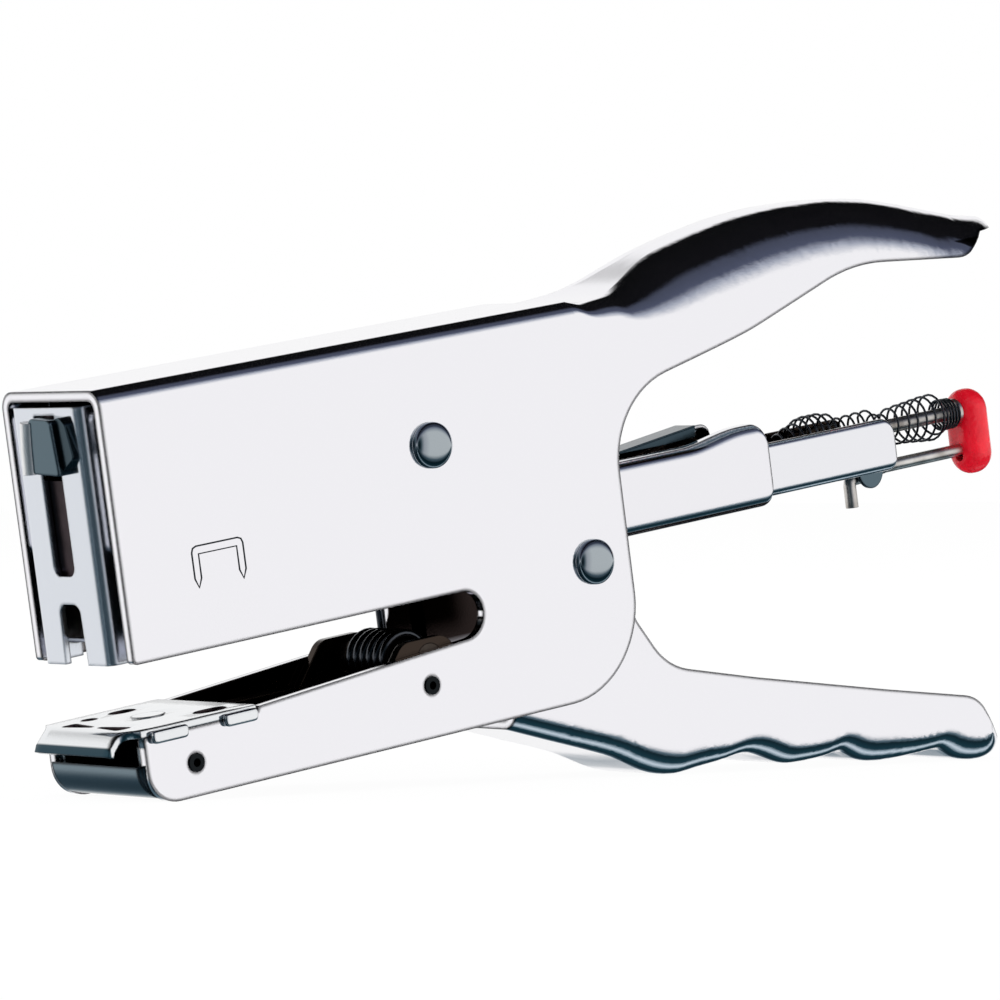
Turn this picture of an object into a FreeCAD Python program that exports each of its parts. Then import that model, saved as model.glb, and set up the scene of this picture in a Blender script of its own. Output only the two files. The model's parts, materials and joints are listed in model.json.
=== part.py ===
"""Plier stapler: a chromed hand stapler squeezed like pliers.

The tool's own frame: the origin is the axis of the pivot rivet, X runs back along the
magazine towards the handles, Y is the width and Z is square to the head's top. Every
piece is modelled in that frame. The finished tool is then pitched nose down until it
stands on the nose of its jaw and on the finger bumps of its lower handle, and it is put
with the middle of its box over the origin.
"""
import FreeCAD
import Part
import Sketcher
import math
import os
from FreeCAD import Placement, Rotation, Vector

doc = FreeCAD.newDocument("plier_stapler")
sheet = doc.addObject("Spreadsheet::Sheet", "sizes")

# Driving dimensions, in millimetres and degrees. A row that starts with "=" follows other rows,
# because the sheet-metal boxes nest in each other down to the staple.
SIZES = (
    # pressed frame: head, jaw arm and upper handle in one sheet
    ("body_width", 20.0, "width over the cheeks"),
    ("shell_sheet", 1.25, "sheet of the frame"),
    ("head_front", -70.45, "front edge of the head"),
    ("head_top", 32.3, "top face of the head"),
    ("head_bend", 2.2, "outer bend of the head's top edges"),
    ("rear_edge", 6.0, "rear edge of the cheeks"),
    ("throat_end", -18.2, "closed end of the mouth"),
    ("throat_low", -6.0, "lower edge of the mouth at its closed end"),
    ("jaw_fall", 2.0, "fall of the jaw arm's top edge to the anvil"),
    ("anvil_back", -53.6, "rear edge of the anvil plate's seat"),
    ("jaw_bottom", -16.8, "underside of the jaw arm"),
    ("grip_start", 2.0, "where the upper handle begins to swell"),
    ("grip_end", 81.0, "tip of the upper handle"),
    ("crown_rise", 6.6, "height of the handle's crown over the head"),
    ("grip_flare", 1.2, "swell of the handle beyond the cheek, each side"),
    ("grip_bend", 9.4, "bend of the handle's top edges at the crown"),
    # rivets
    ("rivet_shank", 1.9, "radius of the two big rivets"),
    ("rivet_head", 2.85, "radius of their heads"),
    ("rivet_rim", 0.6, "straight rim of the head"),
    ("rivet_dome", 1.0, "dome over the rim"),
    ("fit", 0.05, "radial running clearance on the rivets"),
    ("stop_x", -23.0, "upper rivet, along"),
    ("stop_z", 18.3, "upper rivet, up"),
    ("sleeve_wall", 1.1, "wall of the spacer sleeve"),
    ("pin_small", 1.1, "radius of the jaw's tubular rivets"),
    ("pin_bore", 0.5, "bore of the jaw's tubular rivets"),
    ("jaw_pin_front", -63.5, "front jaw rivet, along"),
    ("jaw_pin_front_z", -12.8, "front jaw rivet, up"),
    ("jaw_pin_rear", -27.5, "rear jaw rivet, along"),
    ("jaw_pin_rear_z", -10.4, "rear jaw rivet, up"),
    # jaw liner and anvil
    ("liner_sheet", 1.2, "sheet of the jaw liner"),
    ("liner_nose", -71.1, "nose of the jaw liner"),
    ("liner_lip", -12.0, "top edge of the liner's nose"),
    ("liner_side", -9.8, "top edge of the liner's sides"),
    ("liner_floor", -16.4, "underside of the liner"),
    ("liner_bend", 4.0, "round of the liner's nose"),
    ("liner_back", -22.4, "rear end of the liner"),
    ("anvil_sheet", 0.9, "sheet of the anvil plate"),
    ("anvil_top", -7.7, "working face of the anvil plate"),
    ("anvil_lip", -74.4, "front lip of the anvil plate"),
    ("lip_half", 7.5, "half width of the lip"),
    ("tab_drop", 1.9, "how far the folded tabs hang"),
    ("stud_x", -62.5, "stud on the anvil, along"),
    ("stud_radius", 2.0, "stud on the anvil"),
    # return spring in the jaw
    ("coil_x", -26.3, "return spring's axis, along"),
    ("coil_z", -7.4, "return spring's axis, up"),
    ("coil_radius", 3.2, "mean radius of the return spring"),
    ("coil_wire", 1.2, "its wire"),
    # lower handle and hammer lever
    ("side_gap", 0.25, "gap between frame and lever cheeks"),
    ("lever_sheet", 1.2, "sheet of the lower handle and lever"),
    ("grip_low_end", 70.8, "rear end of the lower handle"),
    ("web_front", -14.0, "front end of the lower handle's web"),
    ("web_top", 3.0, "top edge of the cheeks over the web's front"),
    ("web_start", -18.6, "height of the web's underside at its front"),
    ("bump_drop", 19.3, "fall of the finger bumps from there to the lowest one"),
    ("cheek_low", -7.8, "lower end of the flat cheeks"),
    ("web_bend", 3.4, "bend of the lower handle's bottom edges"),
    ("arm_front", -69.2, "front end of the lever's arms"),
    ("arm_top", 30.0, "top edge of the arms"),
    ("arm_low", 12.6, "bottom edge of the arms at the front"),
    ("arm_back", -6.0, "rear corner of the arms' top edge"),
    ("arm_step_x", -17.5, "step in the arms' bottom edge, along"),
    ("arm_step_z", 5.4, "step in the arms' bottom edge, up"),
    ("knee_x", 3.6, "rear corner of the cheeks, along"),
    ("knee_z", 14.0, "rear corner of the cheeks, up"),
    ("squeeze_angle", 14.0, "travel of the lower handle"),
    ("bridge_front", -61.5, "front edge of the hammer bridge"),
    ("bridge_back", -46.0, "rear edge of the hammer bridge"),
    ("bridge_sheet", 1.2, "sheet of the hammer bridge"),
    ("bridge_depth", 8.0, "depth of the bridge's flanges"),
    ("hook_sheet", 1.5, "sheet of the hammer hooks"),
    ("hook_low", 22.2, "lower edge of the hooks"),
    ("hook_face", -74.2, "front face of the hooks"),
    ("hook_half", 4.4, "half width of the pair of hooks"),
    # magazine
    ("tube_gap", 0.3, "gap between the magazine and the lever's cheeks, each side"),
    ("tube_half", "=body_width / 2 - shell_sheet - side_gap - lever_sheet - tube_gap", "half width of the magazine tube"),
    ("tube_sheet", 0.5, "sheet of the magazine tube"),
    ("tube_low", 1.4, "underside of the tube"),
    ("tube_top", 11.0, "top of the tube"),
    ("tube_flare", 1.2, "rise of the tube's rear end"),
    ("tube_end", 33.6, "rear end of the tube"),
    ("tube_lip", 2.9, "width of the lips along the tube's top"),
    ("tube_slit", "=tube_half - tube_lip", "half width of the opening along the tube's top"),
    ("guide_face", -71.5, "front face of the guide plate"),
    ("guide_sheet", 0.8, "sheet of the guide plate"),
    ("guide_top", 30.5, "top edge of the guide plate"),
    ("guide_depth", 5.5, "depth of the guide's sides"),
    ("guide_bend", 1.9, "outer bend of the guide"),
    ("window_half", 2.1, "half width of the guide's slot"),
    ("window_low", 10.5, "lower end of the guide's slot"),
    ("window_top", 29.6, "upper end of the guide's slot"),
    ("notch_top", 7.2, "top of the notch at the guide's foot"),
    ("driver_sheet", 0.8, "driver blade"),
    ("driver_gap", 0.3, "gap beside the driver blade"),
    ("driver_half", "=tube_half - tube_sheet - driver_gap", "half width of the driver blade"),
    ("driver_low", 10.0, "lower edge of the driver blade"),
    ("lift_gap", 0.42, "room beside each lift spring, both sides together"),
    ("lift_radius", "=(body_width / 2 - shell_sheet - side_gap - lever_sheet - bridge_sheet - hook_sheet - 0.08 - lift_gap - lift_wire) / 2", "mean radius of the lift springs"),
    ("lift_wire", 0.6, "their wire"),
    # staples, rail, follower, rods and knob
    ("strip_back", -20.0, "rear end of the strip of staples"),
    ("staple_gap", 0.1, "gap beside the staples"),
    ("staple_half", "=tube_half - tube_sheet - staple_gap", "half width of a staple"),
    ("staple_leg", 6.2, "leg of a staple"),
    ("staple_wire", 0.5, "thickness of a staple"),
    ("rail_gap", 0.3, "gap between the rail and the staples' legs"),
    ("rail_half", "=staple_half - staple_wire - rail_gap", "half width of the staple rail"),
    ("rail_sheet", 0.6, "sheet of the rail"),
    ("rail_low", 2.3, "underside of the rail"),
    ("rail_top", 9.2, "top edge of the rail"),
    ("rail_end", 56.8, "rear end of the rail"),
    ("rod_radius", 0.95, "rod that carries the pusher spring"),
    ("rod_z", 7.35, "height of that rod"),
    ("lock_radius", 0.75, "lower rod"),
    ("lock_z", 1.45, "height of the lower rod"),
    ("hook_set", 3.9, "how far the lower rod's hook stands ahead of the rail's end"),
    ("lock_hook", "=rail_end - hook_set", "hooked front end of the lower rod"),
    ("ear_set", 0.3, "how far the middle of the ear stands ahead of the rail's end"),
    ("ear_round", 2.1, "radius of the ear under the rail"),
    ("knob_x", 75.3, "middle of the knob"),
    ("knob_z", 4.5, "middle height of the knob"),
    ("knob_tall", 11.4, "height of the knob"),
    ("knob_wide", 5.8, "width of the knob"),
    ("knob_thick", 4.4, "thickness of the knob"),
    ("pusher_radius", 2.65, "mean radius of the pusher spring"),
    ("pusher_wire", 0.55, "its wire"),
    ("follower_long", 10.0, "length of the follower"),
    # latch
    ("latch_x", 4.2, "latch pin, along"),
    ("latch_z", 13.0, "latch pin, up"),
    ("latch_end", 25.5, "rear end of the latch"),
    ("latch_rise", 0.9, "rise of the latch's rear end"),
    ("latch_gap", 0.3, "gap between the latch and its bracket"),
    ("latch_half", "=tube_slit - latch_gap - 0.2", "half width of the latch"),
    ("latch_eye", 1.75, "radius of the latch's knuckles"),
    ("latch_shaft", 0.9, "radius of the latch pin"),
    ("latch_ear", 0.8, "sheet of the latch bracket"),
    ("flange_start", 9.0, "front end of the latch's flanges, behind the pin"),
    ("flange_drop", 1.6, "depth of the latch's flanges at their rear end"),
    ("latch_sheet", 0.8, "sheet of the latch"),
    ("latch_lug", "=latch_half / 2", "half width of the latch spring's room"),
)


class Size(float):
    """A number that remembers the cell, or the sum of cells, that it came from."""

    def __new__(cls, value, formula):
        made = float.__new__(cls, value)
        made.formula = formula
        return made

    @staticmethod
    def text(other):
        return other.formula if isinstance(other, Size) else repr(float(other))

    def joined(self, sign, left, right, value):
        return Size(value, "(%s %s %s)" % (Size.text(left), sign, Size.text(right)))

    def __add__(self, other):
        return self.joined("+", self, other, float(self) + float(other))

    def __radd__(self, other):
        return self.joined("+", other, self, float(other) + float(self))

    def __sub__(self, other):
        return self.joined("-", self, other, float(self) - float(other))

    def __rsub__(self, other):
        return self.joined("-", other, self, float(other) - float(self))

    def __mul__(self, other):
        return self.joined("*", self, other, float(self) * float(other))

    def __rmul__(self, other):
        return self.joined("*", other, self, float(other) * float(self))

    def __truediv__(self, other):
        return self.joined("/", self, other, float(self) / float(other))

    def __neg__(self):
        return Size(-float(self), "(0 - %s)" % self.formula)


class Sizes:
    """The sheet's cells by name."""


s = Sizes()
for row, (name, value, meaning) in enumerate(SIZES, start=1):
    sheet.set("A%d" % row, str(value))
    sheet.set("B%d" % row, meaning)
    sheet.setAlias("A%d" % row, name)
doc.recompute()
for name, value, meaning in SIZES:
    setattr(s, name, Size(sheet.get(name), "sizes." + name))

nodes = {}


def keep(label, thing):
    """Give a finished piece its own name."""
    thing.Label = label
    nodes[label] = thing
    return thing


def bind(thing, **sizes):
    """Set properties, tied to the sheet where the value comes from it."""
    for prop, value in sizes.items():
        setattr(thing, prop, float(value))
        if isinstance(value, Size):
            thing.setExpression(prop, value.formula)
    return thing


def place(thing, x, y, z, axis=None, angle=0.0):
    """Put a primitive at x, y, z, its coordinates tied to the sheet."""
    turn = Rotation(axis, angle) if axis else Rotation()
    thing.Placement = Placement(Vector(x, y, z), turn)
    for letter, value in zip("xyz", (x, y, z)):
        if isinstance(value, Size):
            thing.setExpression("Placement.Base." + letter, value.formula)
    return thing


def block(x0, x1, y0, y1, z0, z1):
    """A box between two corners."""
    thing = doc.addObject("Part::Box", "block")
    bind(thing, Length=x1 - x0, Width=y1 - y0, Height=z1 - z0)
    return place(thing, x0, y0, z0)


def rod(axis, x, y, z, radius, length):
    """A cylinder from x, y, z along X, Y or Z."""
    thing = doc.addObject("Part::Cylinder", "rod")
    bind(thing, Radius=radius, Height=length)
    turns = {"X": (Vector(0, 1, 0), 90.0), "Y": (Vector(1, 0, 0), -90.0), "Z": (None, 0.0)}
    return place(thing, x, y, z, *turns[axis])


def join(label, things):
    """One solid out of several."""
    thing = doc.addObject("Part::MultiFuse", "joined")
    thing.Shapes = things
    thing.Refine = True
    return keep(label, thing) if label else thing


def cut(label, base, tools):
    """A solid with pieces taken out of it."""
    thing = doc.addObject("Part::Cut", "cut")
    thing.Base = base
    thing.Tool = tools[0] if len(tools) == 1 else join(None, tools)
    return keep(label, thing) if label else thing


def group(label, things):
    """Identical pieces that stay separate solids."""
    thing = doc.addObject("Part::Compound", "group")
    thing.Links = things
    return keep(label, thing)


def body(label):
    return keep(label, doc.addObject("PartDesign::Body", label + "_body"))


def sketch(owner, plane, loops, offset=None):
    """A sketch on one of the body's own planes, its corners tied to the sheet.

    A loop is a list of corners, or a circle given as (x, y, radius).
    """
    sk = owner.newObject("Sketcher::SketchObject", "sketch")
    support = [f for f in owner.Origin.OriginFeatures if f.Role == plane + "_Plane"][0]
    sk.AttachmentSupport = [(support, "")]
    sk.MapMode = "FlatFace"
    if offset is not None:
        sk.AttachmentOffset = Placement(Vector(0, 0, offset), Rotation())
        if isinstance(offset, Size):
            sk.setExpression("AttachmentOffset.Base.z", offset.formula)

    def pin_down(geo, pos, x, y):
        for kind, axis, value in (("DistanceX", -2, x), ("DistanceY", -1, y)):
            if abs(value) < 1e-9:
                sk.addConstraint(Sketcher.Constraint("PointOnObject", geo, pos, axis))
                continue
            index = sk.addConstraint(Sketcher.Constraint(kind, -1, 1, geo, pos, float(value)))
            if isinstance(value, Size):
                sk.setExpression("Constraints[%d]" % index, value.formula)

    for loop in loops:
        if isinstance(loop, tuple):
            x, y, radius = loop
            geo = sk.addGeometry(Part.Circle(Vector(x, y, 0), Vector(0, 0, 1), float(radius)), False)
            pin_down(geo, 3, x, y)
            index = sk.addConstraint(Sketcher.Constraint("Radius", geo, float(radius)))
            if isinstance(radius, Size):
                sk.setExpression("Constraints[%d]" % index, radius.formula)
            continue
        ends = loop[1:] + loop[:1]
        lines = [sk.addGeometry(Part.LineSegment(Vector(a[0], a[1], 0), Vector(b[0], b[1], 0)), False)
                 for a, b in zip(loop, ends)]
        for here, after in zip(lines, lines[1:] + lines[:1]):
            sk.addConstraint(Sketcher.Constraint("Coincident", here, 2, after, 1))
        for geo, corner in zip(lines, loop):
            pin_down(geo, 1, corner[0], corner[1])
    return sk


def feature(owner, kind, profile, length, symmetric=True, reverse=False):
    """A pad or pocket of a sketch."""
    doc.recompute()
    thing = owner.newObject("PartDesign::" + kind, kind.lower())
    thing.Profile = profile
    bind(thing, Length=length)
    thing.SideType = "Symmetric" if symmetric else "One side"
    thing.Reversed = reverse
    doc.recompute()
    return thing


def round_edges(owner, base, radius, wanted):
    """Fillet the edges whose middle point passes the test."""
    names = ["Edge%d" % (i + 1) for i, e in enumerate(base.Shape.Edges) if wanted(e)]
    thing = owner.newObject("PartDesign::Fillet", "fillet")
    thing.Base = (base, names)
    bind(thing, Radius=radius)
    doc.recompute()
    return thing


def corner_at(x, z, slack=0.02):
    """A test for an edge across the width at x, z."""
    def test(edge):
        ends = [v.Point for v in edge.Vertexes]
        return len(ends) == 2 and all(abs(p.x - x) < slack and abs(p.z - z) < slack for p in ends)
    return test


# ---------------------------------------------------------------- free-form helpers

def rounded(points):
    """A closed wire in the XZ plane through corners (x, z, radius)."""
    corners = [(Vector(p[0], 0, p[1]), float(p[2]) if len(p) > 2 else 0.0) for p in points]
    cuts = []
    for i, (here, radius) in enumerate(corners):
        before, after = corners[i - 1][0] - here, corners[(i + 1) % len(corners)][0] - here
        if radius <= 0:
            cuts.append((here, None, here))
            continue
        a, b = Vector(before).normalize(), Vector(after).normalize()
        half = a.getAngle(b) / 2
        reach = min(radius / math.tan(half), 0.49 * before.Length, 0.49 * after.Length)
        radius = reach * math.tan(half)
        middle = here + (a + b).normalize() * (radius / math.sin(half) - radius)
        cuts.append((here + a * reach, middle, here + b * reach))
    edges = []
    for i, (start, middle, end) in enumerate(cuts):
        if middle is not None:
            edges.append(Part.Arc(start, middle, end).toShape())
        follow = cuts[(i + 1) % len(cuts)][0]
        if (follow - end).Length > 1e-6:
            edges.append(Part.makeLine(end, follow))
    return Part.Wire(edges)


def slab(points, y0, y1):
    """A rounded outline in XZ, extruded from y0 to y1."""
    face = Part.Face(rounded(points))
    face.translate(Vector(0, float(y0), 0))
    return face.extrude(Vector(0, float(y1) - float(y0), 0))


def channel_section(x, half, edge, far, bend):
    """A U at x: its web at height edge with rounded corners, its legs reaching to far."""
    way = 1.0 if far > edge else -1.0
    k = bend * (1 - math.sqrt(0.5))
    pts = [Vector(x, -half, far), Vector(x, -half, edge + way * bend), Vector(x, -half + k, edge + way * k),
           Vector(x, -half + bend, edge), Vector(x, half - bend, edge), Vector(x, half - k, edge + way * k),
           Vector(x, half, edge + way * bend), Vector(x, half, far)]
    return Part.Wire([Part.makeLine(pts[0], pts[1]), Part.Arc(pts[1], pts[2], pts[3]).toShape(),
                      Part.makeLine(pts[3], pts[4]), Part.Arc(pts[4], pts[5], pts[6]).toShape(),
                      Part.makeLine(pts[6], pts[7]), Part.makeLine(pts[7], pts[0])])


def loft(sections):
    return Part.makeLoft(sections, True, False)


def solid(shape):
    """The single solid in a boolean's result."""
    return shape.removeSplitter().Solids[0]


def glide(table, x):
    """Read a table of (x, value) along a smooth curve that keeps level where its rows do."""
    gaps = [(b[1] - a[1]) / (b[0] - a[0]) for a, b in zip(table, table[1:])]
    slopes = [gaps[0]] + [2 * g * k / (g + k) if g * k > 0 else 0.0 for g, k in zip(gaps, gaps[1:])] + [gaps[-1]]
    x = min(max(x, table[0][0]), table[-1][0])
    for i, (a, b) in enumerate(zip(table, table[1:])):
        if x <= b[0]:
            long = b[0] - a[0]
            u = (x - a[0]) / long
            return (a[1] * (1 + 2 * u) * (1 - u) ** 2 + slopes[i] * long * u * (1 - u) ** 2
                    + b[1] * u * u * (3 - 2 * u) + slopes[i + 1] * long * u * u * (u - 1))


HALF = s.body_width / 2
PAST = 3 * HALF                          # how far a through cut runs past the middle
INSIDE = HALF - s.shell_sheet            # inner face of the frame's cheeks
LEVER = INSIDE - s.side_gap              # outer face of the lever's cheeks
LEVER_IN = LEVER - s.lever_sheet         # inner face of the lever's cheeks


def cross_hole(x, z, radius):
    return Part.makeCylinder(float(radius), 2 * PAST, Vector(x, -PAST, z), Vector(0, 1, 0))


def raw(label, shape):
    if not shape.Placement.isIdentity():
        shape = Part.makeCompound([shape])
    thing = doc.addObject("Part::Feature", label)
    thing.Shape = shape
    return keep(label, thing)


# ---------------------------------------------------------------- frame

def make_frame_shell():
    """Head, jaw arm and upper handle: one pressed sheet, open at the front and below."""
    t, low = s.shell_sheet, s.jaw_bottom - 2.0
    span = s.grip_end - s.grip_start
    # along the handle, as shares of its length: rise to the crown, swell of the sides, soft bend
    rise = ((0.0, 0.0), (0.04, -0.085), (0.08, -0.066), (0.12, 0.0), (0.16, 0.128), (0.21, 0.355), (0.26, 0.548),
            (0.32, 0.712), (0.38, 0.84), (0.45, 0.95), (0.53, 1.0), (0.61, 0.98), (0.69, 0.88), (0.77, 0.685),
            (0.85, 0.43), (0.92, 0.205), (1.0, 0.04))
    swell = ((0.0, 0.0), (0.037, 0.0), (0.075, 0.1), (0.16, 0.45), (0.28, 0.9), (0.40, 1.0), (0.60, 0.95), (0.75, 0.6), (0.87, -0.1))
    soft = ((0.0, 0.0), (0.04, 0.05), (0.09, 0.2), (0.16, 0.62), (0.25, 0.95), (0.4, 1.0), (0.6, 0.95), (0.87, 1.0))
    round_tip = 0.127                       # length of the tip that is round in plan
    steps = [i / 24.0 * (1 - round_tip) for i in range(25)]
    steps += [1 - round_tip * (1 - math.sin(math.radians(a))) for a in (22, 42, 58, 70, 79)]

    def walls(inset, front, tip):
        top, half = s.head_top - inset, HALF - inset
        bend = max(s.head_bend - inset, 0.3)
        head = channel_section(front, half, top, low - inset, bend)
        head = Part.Face(head).extrude(Vector(s.grip_start - front, 0, 0))
        sections = []
        for share in steps:
            into = max(0.0, share - (1 - round_tip)) / round_tip
            x = s.grip_start + share * span - tip * into
            narrow = math.sqrt(1 - into * into)
            wide = (half + s.grip_flare * glide(swell, share)) * narrow
            corner = bend + (s.grip_bend - s.head_bend) * glide(soft, share)
            sections.append(channel_section(x, wide, top + s.crown_rise * glide(rise, share), low - inset,
                                            min(corner, 0.9 * wide)))
        return head.fuse(loft(sections)).removeSplitter()

    outer = walls(0.0, float(s.head_front), 0.0)
    inner = walls(float(t), s.head_front - 3.0, float(t))
    jaw_top = s.throat_low - s.jaw_fall
    seat = s.anvil_top - s.anvil_sheet
    back = s.rear_edge
    reach, top = s.grip_end - back, s.head_top
    side = [(s.head_front, top + PAST), (s.head_front, 0.0, 0.6), (s.throat_end, 0.0, 2.95),
            (s.throat_end, s.throat_low + 0.3, 3.0), (s.anvil_back, jaw_top, 0.5),
            (s.anvil_back - 0.05, seat, 0.2), (s.head_front, seat, 0.5),
            (s.head_front, s.jaw_bottom, 5.2), (back, s.jaw_bottom, 12.0), (back, top - 12.8, 11.5),
            (back + 0.3067 * reach, top - 7.75, 60.0), (back + 0.56 * reach, top - 1.8, 26.0),
            (back + 0.8467 * reach, top - 3.9, 6.0),
            (s.grip_end - 5.6, top - 1.15, 1.5), (s.grip_end + 5.0, top - 1.15), (s.grip_end + 5.0, top + PAST)]
    shell = outer.cut(inner).common(slab(side, -PAST, PAST))
    holes = [cross_hole(0, 0, s.rivet_shank), cross_hole(s.stop_x, s.stop_z, s.rivet_shank),
             cross_hole(s.jaw_pin_front, s.jaw_pin_front_z, s.pin_small),
             cross_hole(s.jaw_pin_rear, s.jaw_pin_rear_z, s.pin_small)]
    return raw("frame_shell", solid(shell.cut(holes)))


def make_jaw_liner():
    """A U-shaped liner inside the jaw arm; its rear ears carry the return spring's pin."""
    owner = body("jaw_channel")
    z_ear = s.coil_z + 2.6
    outline = [(s.liner_nose, s.liner_lip), (s.liner_nose, s.liner_floor), (s.liner_back, s.liner_floor),
               (s.liner_back, z_ear), (s.coil_x - 3.9, z_ear), (s.coil_x - 8.0, s.liner_side),
               (s.liner_nose + s.liner_sheet, s.liner_side), (s.liner_nose + s.liner_sheet, s.liner_lip)]
    pad = feature(owner, "Pad", sketch(owner, "XZ", [outline]), 2 * INSIDE)
    nose = round_edges(owner, pad, s.liner_bend, corner_at(s.liner_nose, s.liner_floor))
    ears = round_edges(owner, nose, 2.4, lambda e: corner_at(s.liner_back, z_ear)(e)
                       or corner_at(s.coil_x - 3.9, z_ear)(e))
    x0, z0 = s.liner_nose + s.liner_sheet, s.liner_floor + s.liner_sheet
    hollow = [(x0, 5.0), (x0, z0), (s.liner_back + 5.0, z0), (s.liner_back + 5.0, 5.0)]
    pocket = feature(owner, "Pocket", sketch(owner, "XZ", [hollow]), 2 * (INSIDE - s.liner_sheet))
    inner = round_edges(owner, pocket, s.liner_bend - s.liner_sheet, corner_at(x0, z0))
    pins = sketch(owner, "XZ", [(s.jaw_pin_front, s.jaw_pin_front_z, s.pin_small),
                                (s.jaw_pin_rear, s.jaw_pin_rear_z, s.pin_small),
                                (s.coil_x, s.coil_z, s.rivet_shank)])
    feature(owner, "Pocket", pins, 2 * HALF)


def make_anvil():
    """The clinching plate: a bent lip in front, tabs folded down over the cheeks."""
    owner = body("anvil_plate")
    t, top = s.anvil_sheet, s.anvil_top
    bend_x, back = s.anvil_lip + 2.3, s.anvil_back + 1.0
    outline = [(bend_x, top), (s.anvil_lip, top - 1.7), (s.anvil_lip + 0.45, top - 1.7 - 0.8 * t),
               (bend_x + 0.3, top - t), (s.anvil_back - 0.3, top - t), (s.anvil_back - 0.3, top)]
    pad = feature(owner, "Pad", sketch(owner, "XZ", [outline]), s.body_width)
    tabs = []
    for x0, x1, drop in ((s.head_front + 1.05, s.head_front + 5.85, s.tab_drop),
                         (s.anvil_back - 5.6, s.anvil_back - 0.4, s.tab_drop * 0.6)):
        tabs.append([(x0, top - 0.1), (x0, top - t - drop), (x1, top - t - drop), (x1, top - 0.1)])
    for y in (-(HALF + t), HALF):
        # the sketch's normal points towards -Y, so its offset is the negative of the far face
        feature(owner, "Pad", sketch(owner, "XZ", tabs, offset=-(y + t)), t, symmetric=False)
    waste = []
    for side in (-1.0, 1.0):
        waste.append([(s.anvil_lip - 2.0, side * s.lip_half), (bend_x + 0.2, side * s.lip_half),
                      (s.head_front + 1.0, side * (HALF + 0.1)), (s.anvil_lip - 2.0, side * (HALF + 0.1))])
    feature(owner, "Pocket", sketch(owner, "XY", waste), 60.0)
    pockets = [(s.stud_x, 0.0, s.stud_radius), (s.anvil_back - 4.6, -6.6, 1.5),
               (s.anvil_back - 8.0, 6.6, 1.2)]
    feature(owner, "Pocket", sketch(owner, "XY", pockets), 60.0)
    # forming grooves under the driver, on both sides of the middle
    grooves = []
    for side in (-1.0, 1.0):
        grooves.append([(s.head_front - 0.9, side * s.staple_half), (s.head_front - 0.5, side * 0.8),
                        (s.head_front + 1.3, side * 0.8), (s.head_front + 1.7, side * s.staple_half)])
    feature(owner, "Pocket", sketch(owner, "XY", grooves, offset=top), 0.5 * t, symmetric=False)

    head = rod("Z", s.stud_x, 0.0, top - t - 0.8, s.stud_radius + 0.7, 0.8)
    shank = rod("Z", s.stud_x, 0.0, top - t, s.stud_radius, t + 0.35)
    join("anvil_stud", [head, shank])


def big_rivet(label, x, z):
    """A rivet through both cheeks: straight shank, rimmed and domed heads."""
    owner = body(label)
    r, head, rim, dome = s.rivet_shank, s.rivet_head, s.rivet_rim, s.rivet_dome
    sk = sketch(owner, "YZ", [[(-(HALF + rim), 0.0), (-(HALF + rim), head), (-HALF, head), (-HALF, r),
                               (HALF, r), (HALF, head), (HALF + rim, head), (HALF + rim, 0.0)]])
    doc.recompute()
    turned = owner.newObject("PartDesign::Revolution", "turned")
    turned.Profile = sk
    turned.ReferenceAxis = (sk, ["H_Axis"])
    turned.Angle = 360.0
    doc.recompute()
    # the dome is a shallow cone with a rolled edge on each face
    for y in (-(HALF + rim), HALF + rim):
        out = -1.0 if y < 0 else 1.0
        sk2 = sketch(owner, "YZ", [[(y, 0.0), (y + out * dome, 0.0), (y + out * dome * 0.86, head * 0.42),
                                    (y + out * dome * 0.52, head * 0.74), (y + out * dome * 0.1, head * 0.97),
                                    (y, head)]])
        doc.recompute()
        turned = owner.newObject("PartDesign::Revolution", "dome")
        turned.Profile = sk2
        turned.ReferenceAxis = (sk2, ["H_Axis"])
        turned.Angle = 360.0
        doc.recompute()
    return owner, x, z


def make_rivets():
    moved = [big_rivet("pivot_rivet", 0.0, 0.0), big_rivet("stop_rivet", s.stop_x, s.stop_z)]
    length = 2 * (LEVER_IN - 0.3)
    outer = rod("Y", s.stop_x, -(LEVER_IN - 0.3), s.stop_z, s.rivet_shank + s.sleeve_wall, length)
    bore = rod("Y", s.stop_x, -(LEVER_IN + 1.0), s.stop_z, s.rivet_shank, length + 4.0)
    cut("stop_sleeve", outer, [bore])
    tubes = []
    for x, z in ((s.jaw_pin_front, s.jaw_pin_front_z), (s.jaw_pin_rear, s.jaw_pin_rear_z)):
        for y in (-(HALF + 0.2), INSIDE - s.liner_sheet - 0.3):
            full = rod("Y", x, y, z, s.pin_small, s.shell_sheet + s.liner_sheet + 0.5)
            hole = rod("Y", x, y - 1.0, z, s.pin_bore, s.shell_sheet + s.liner_sheet + 2.5)
            tubes.append(cut(None, full, [hole]))
    group("jaw_rivets", tubes)
    return moved


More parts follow.
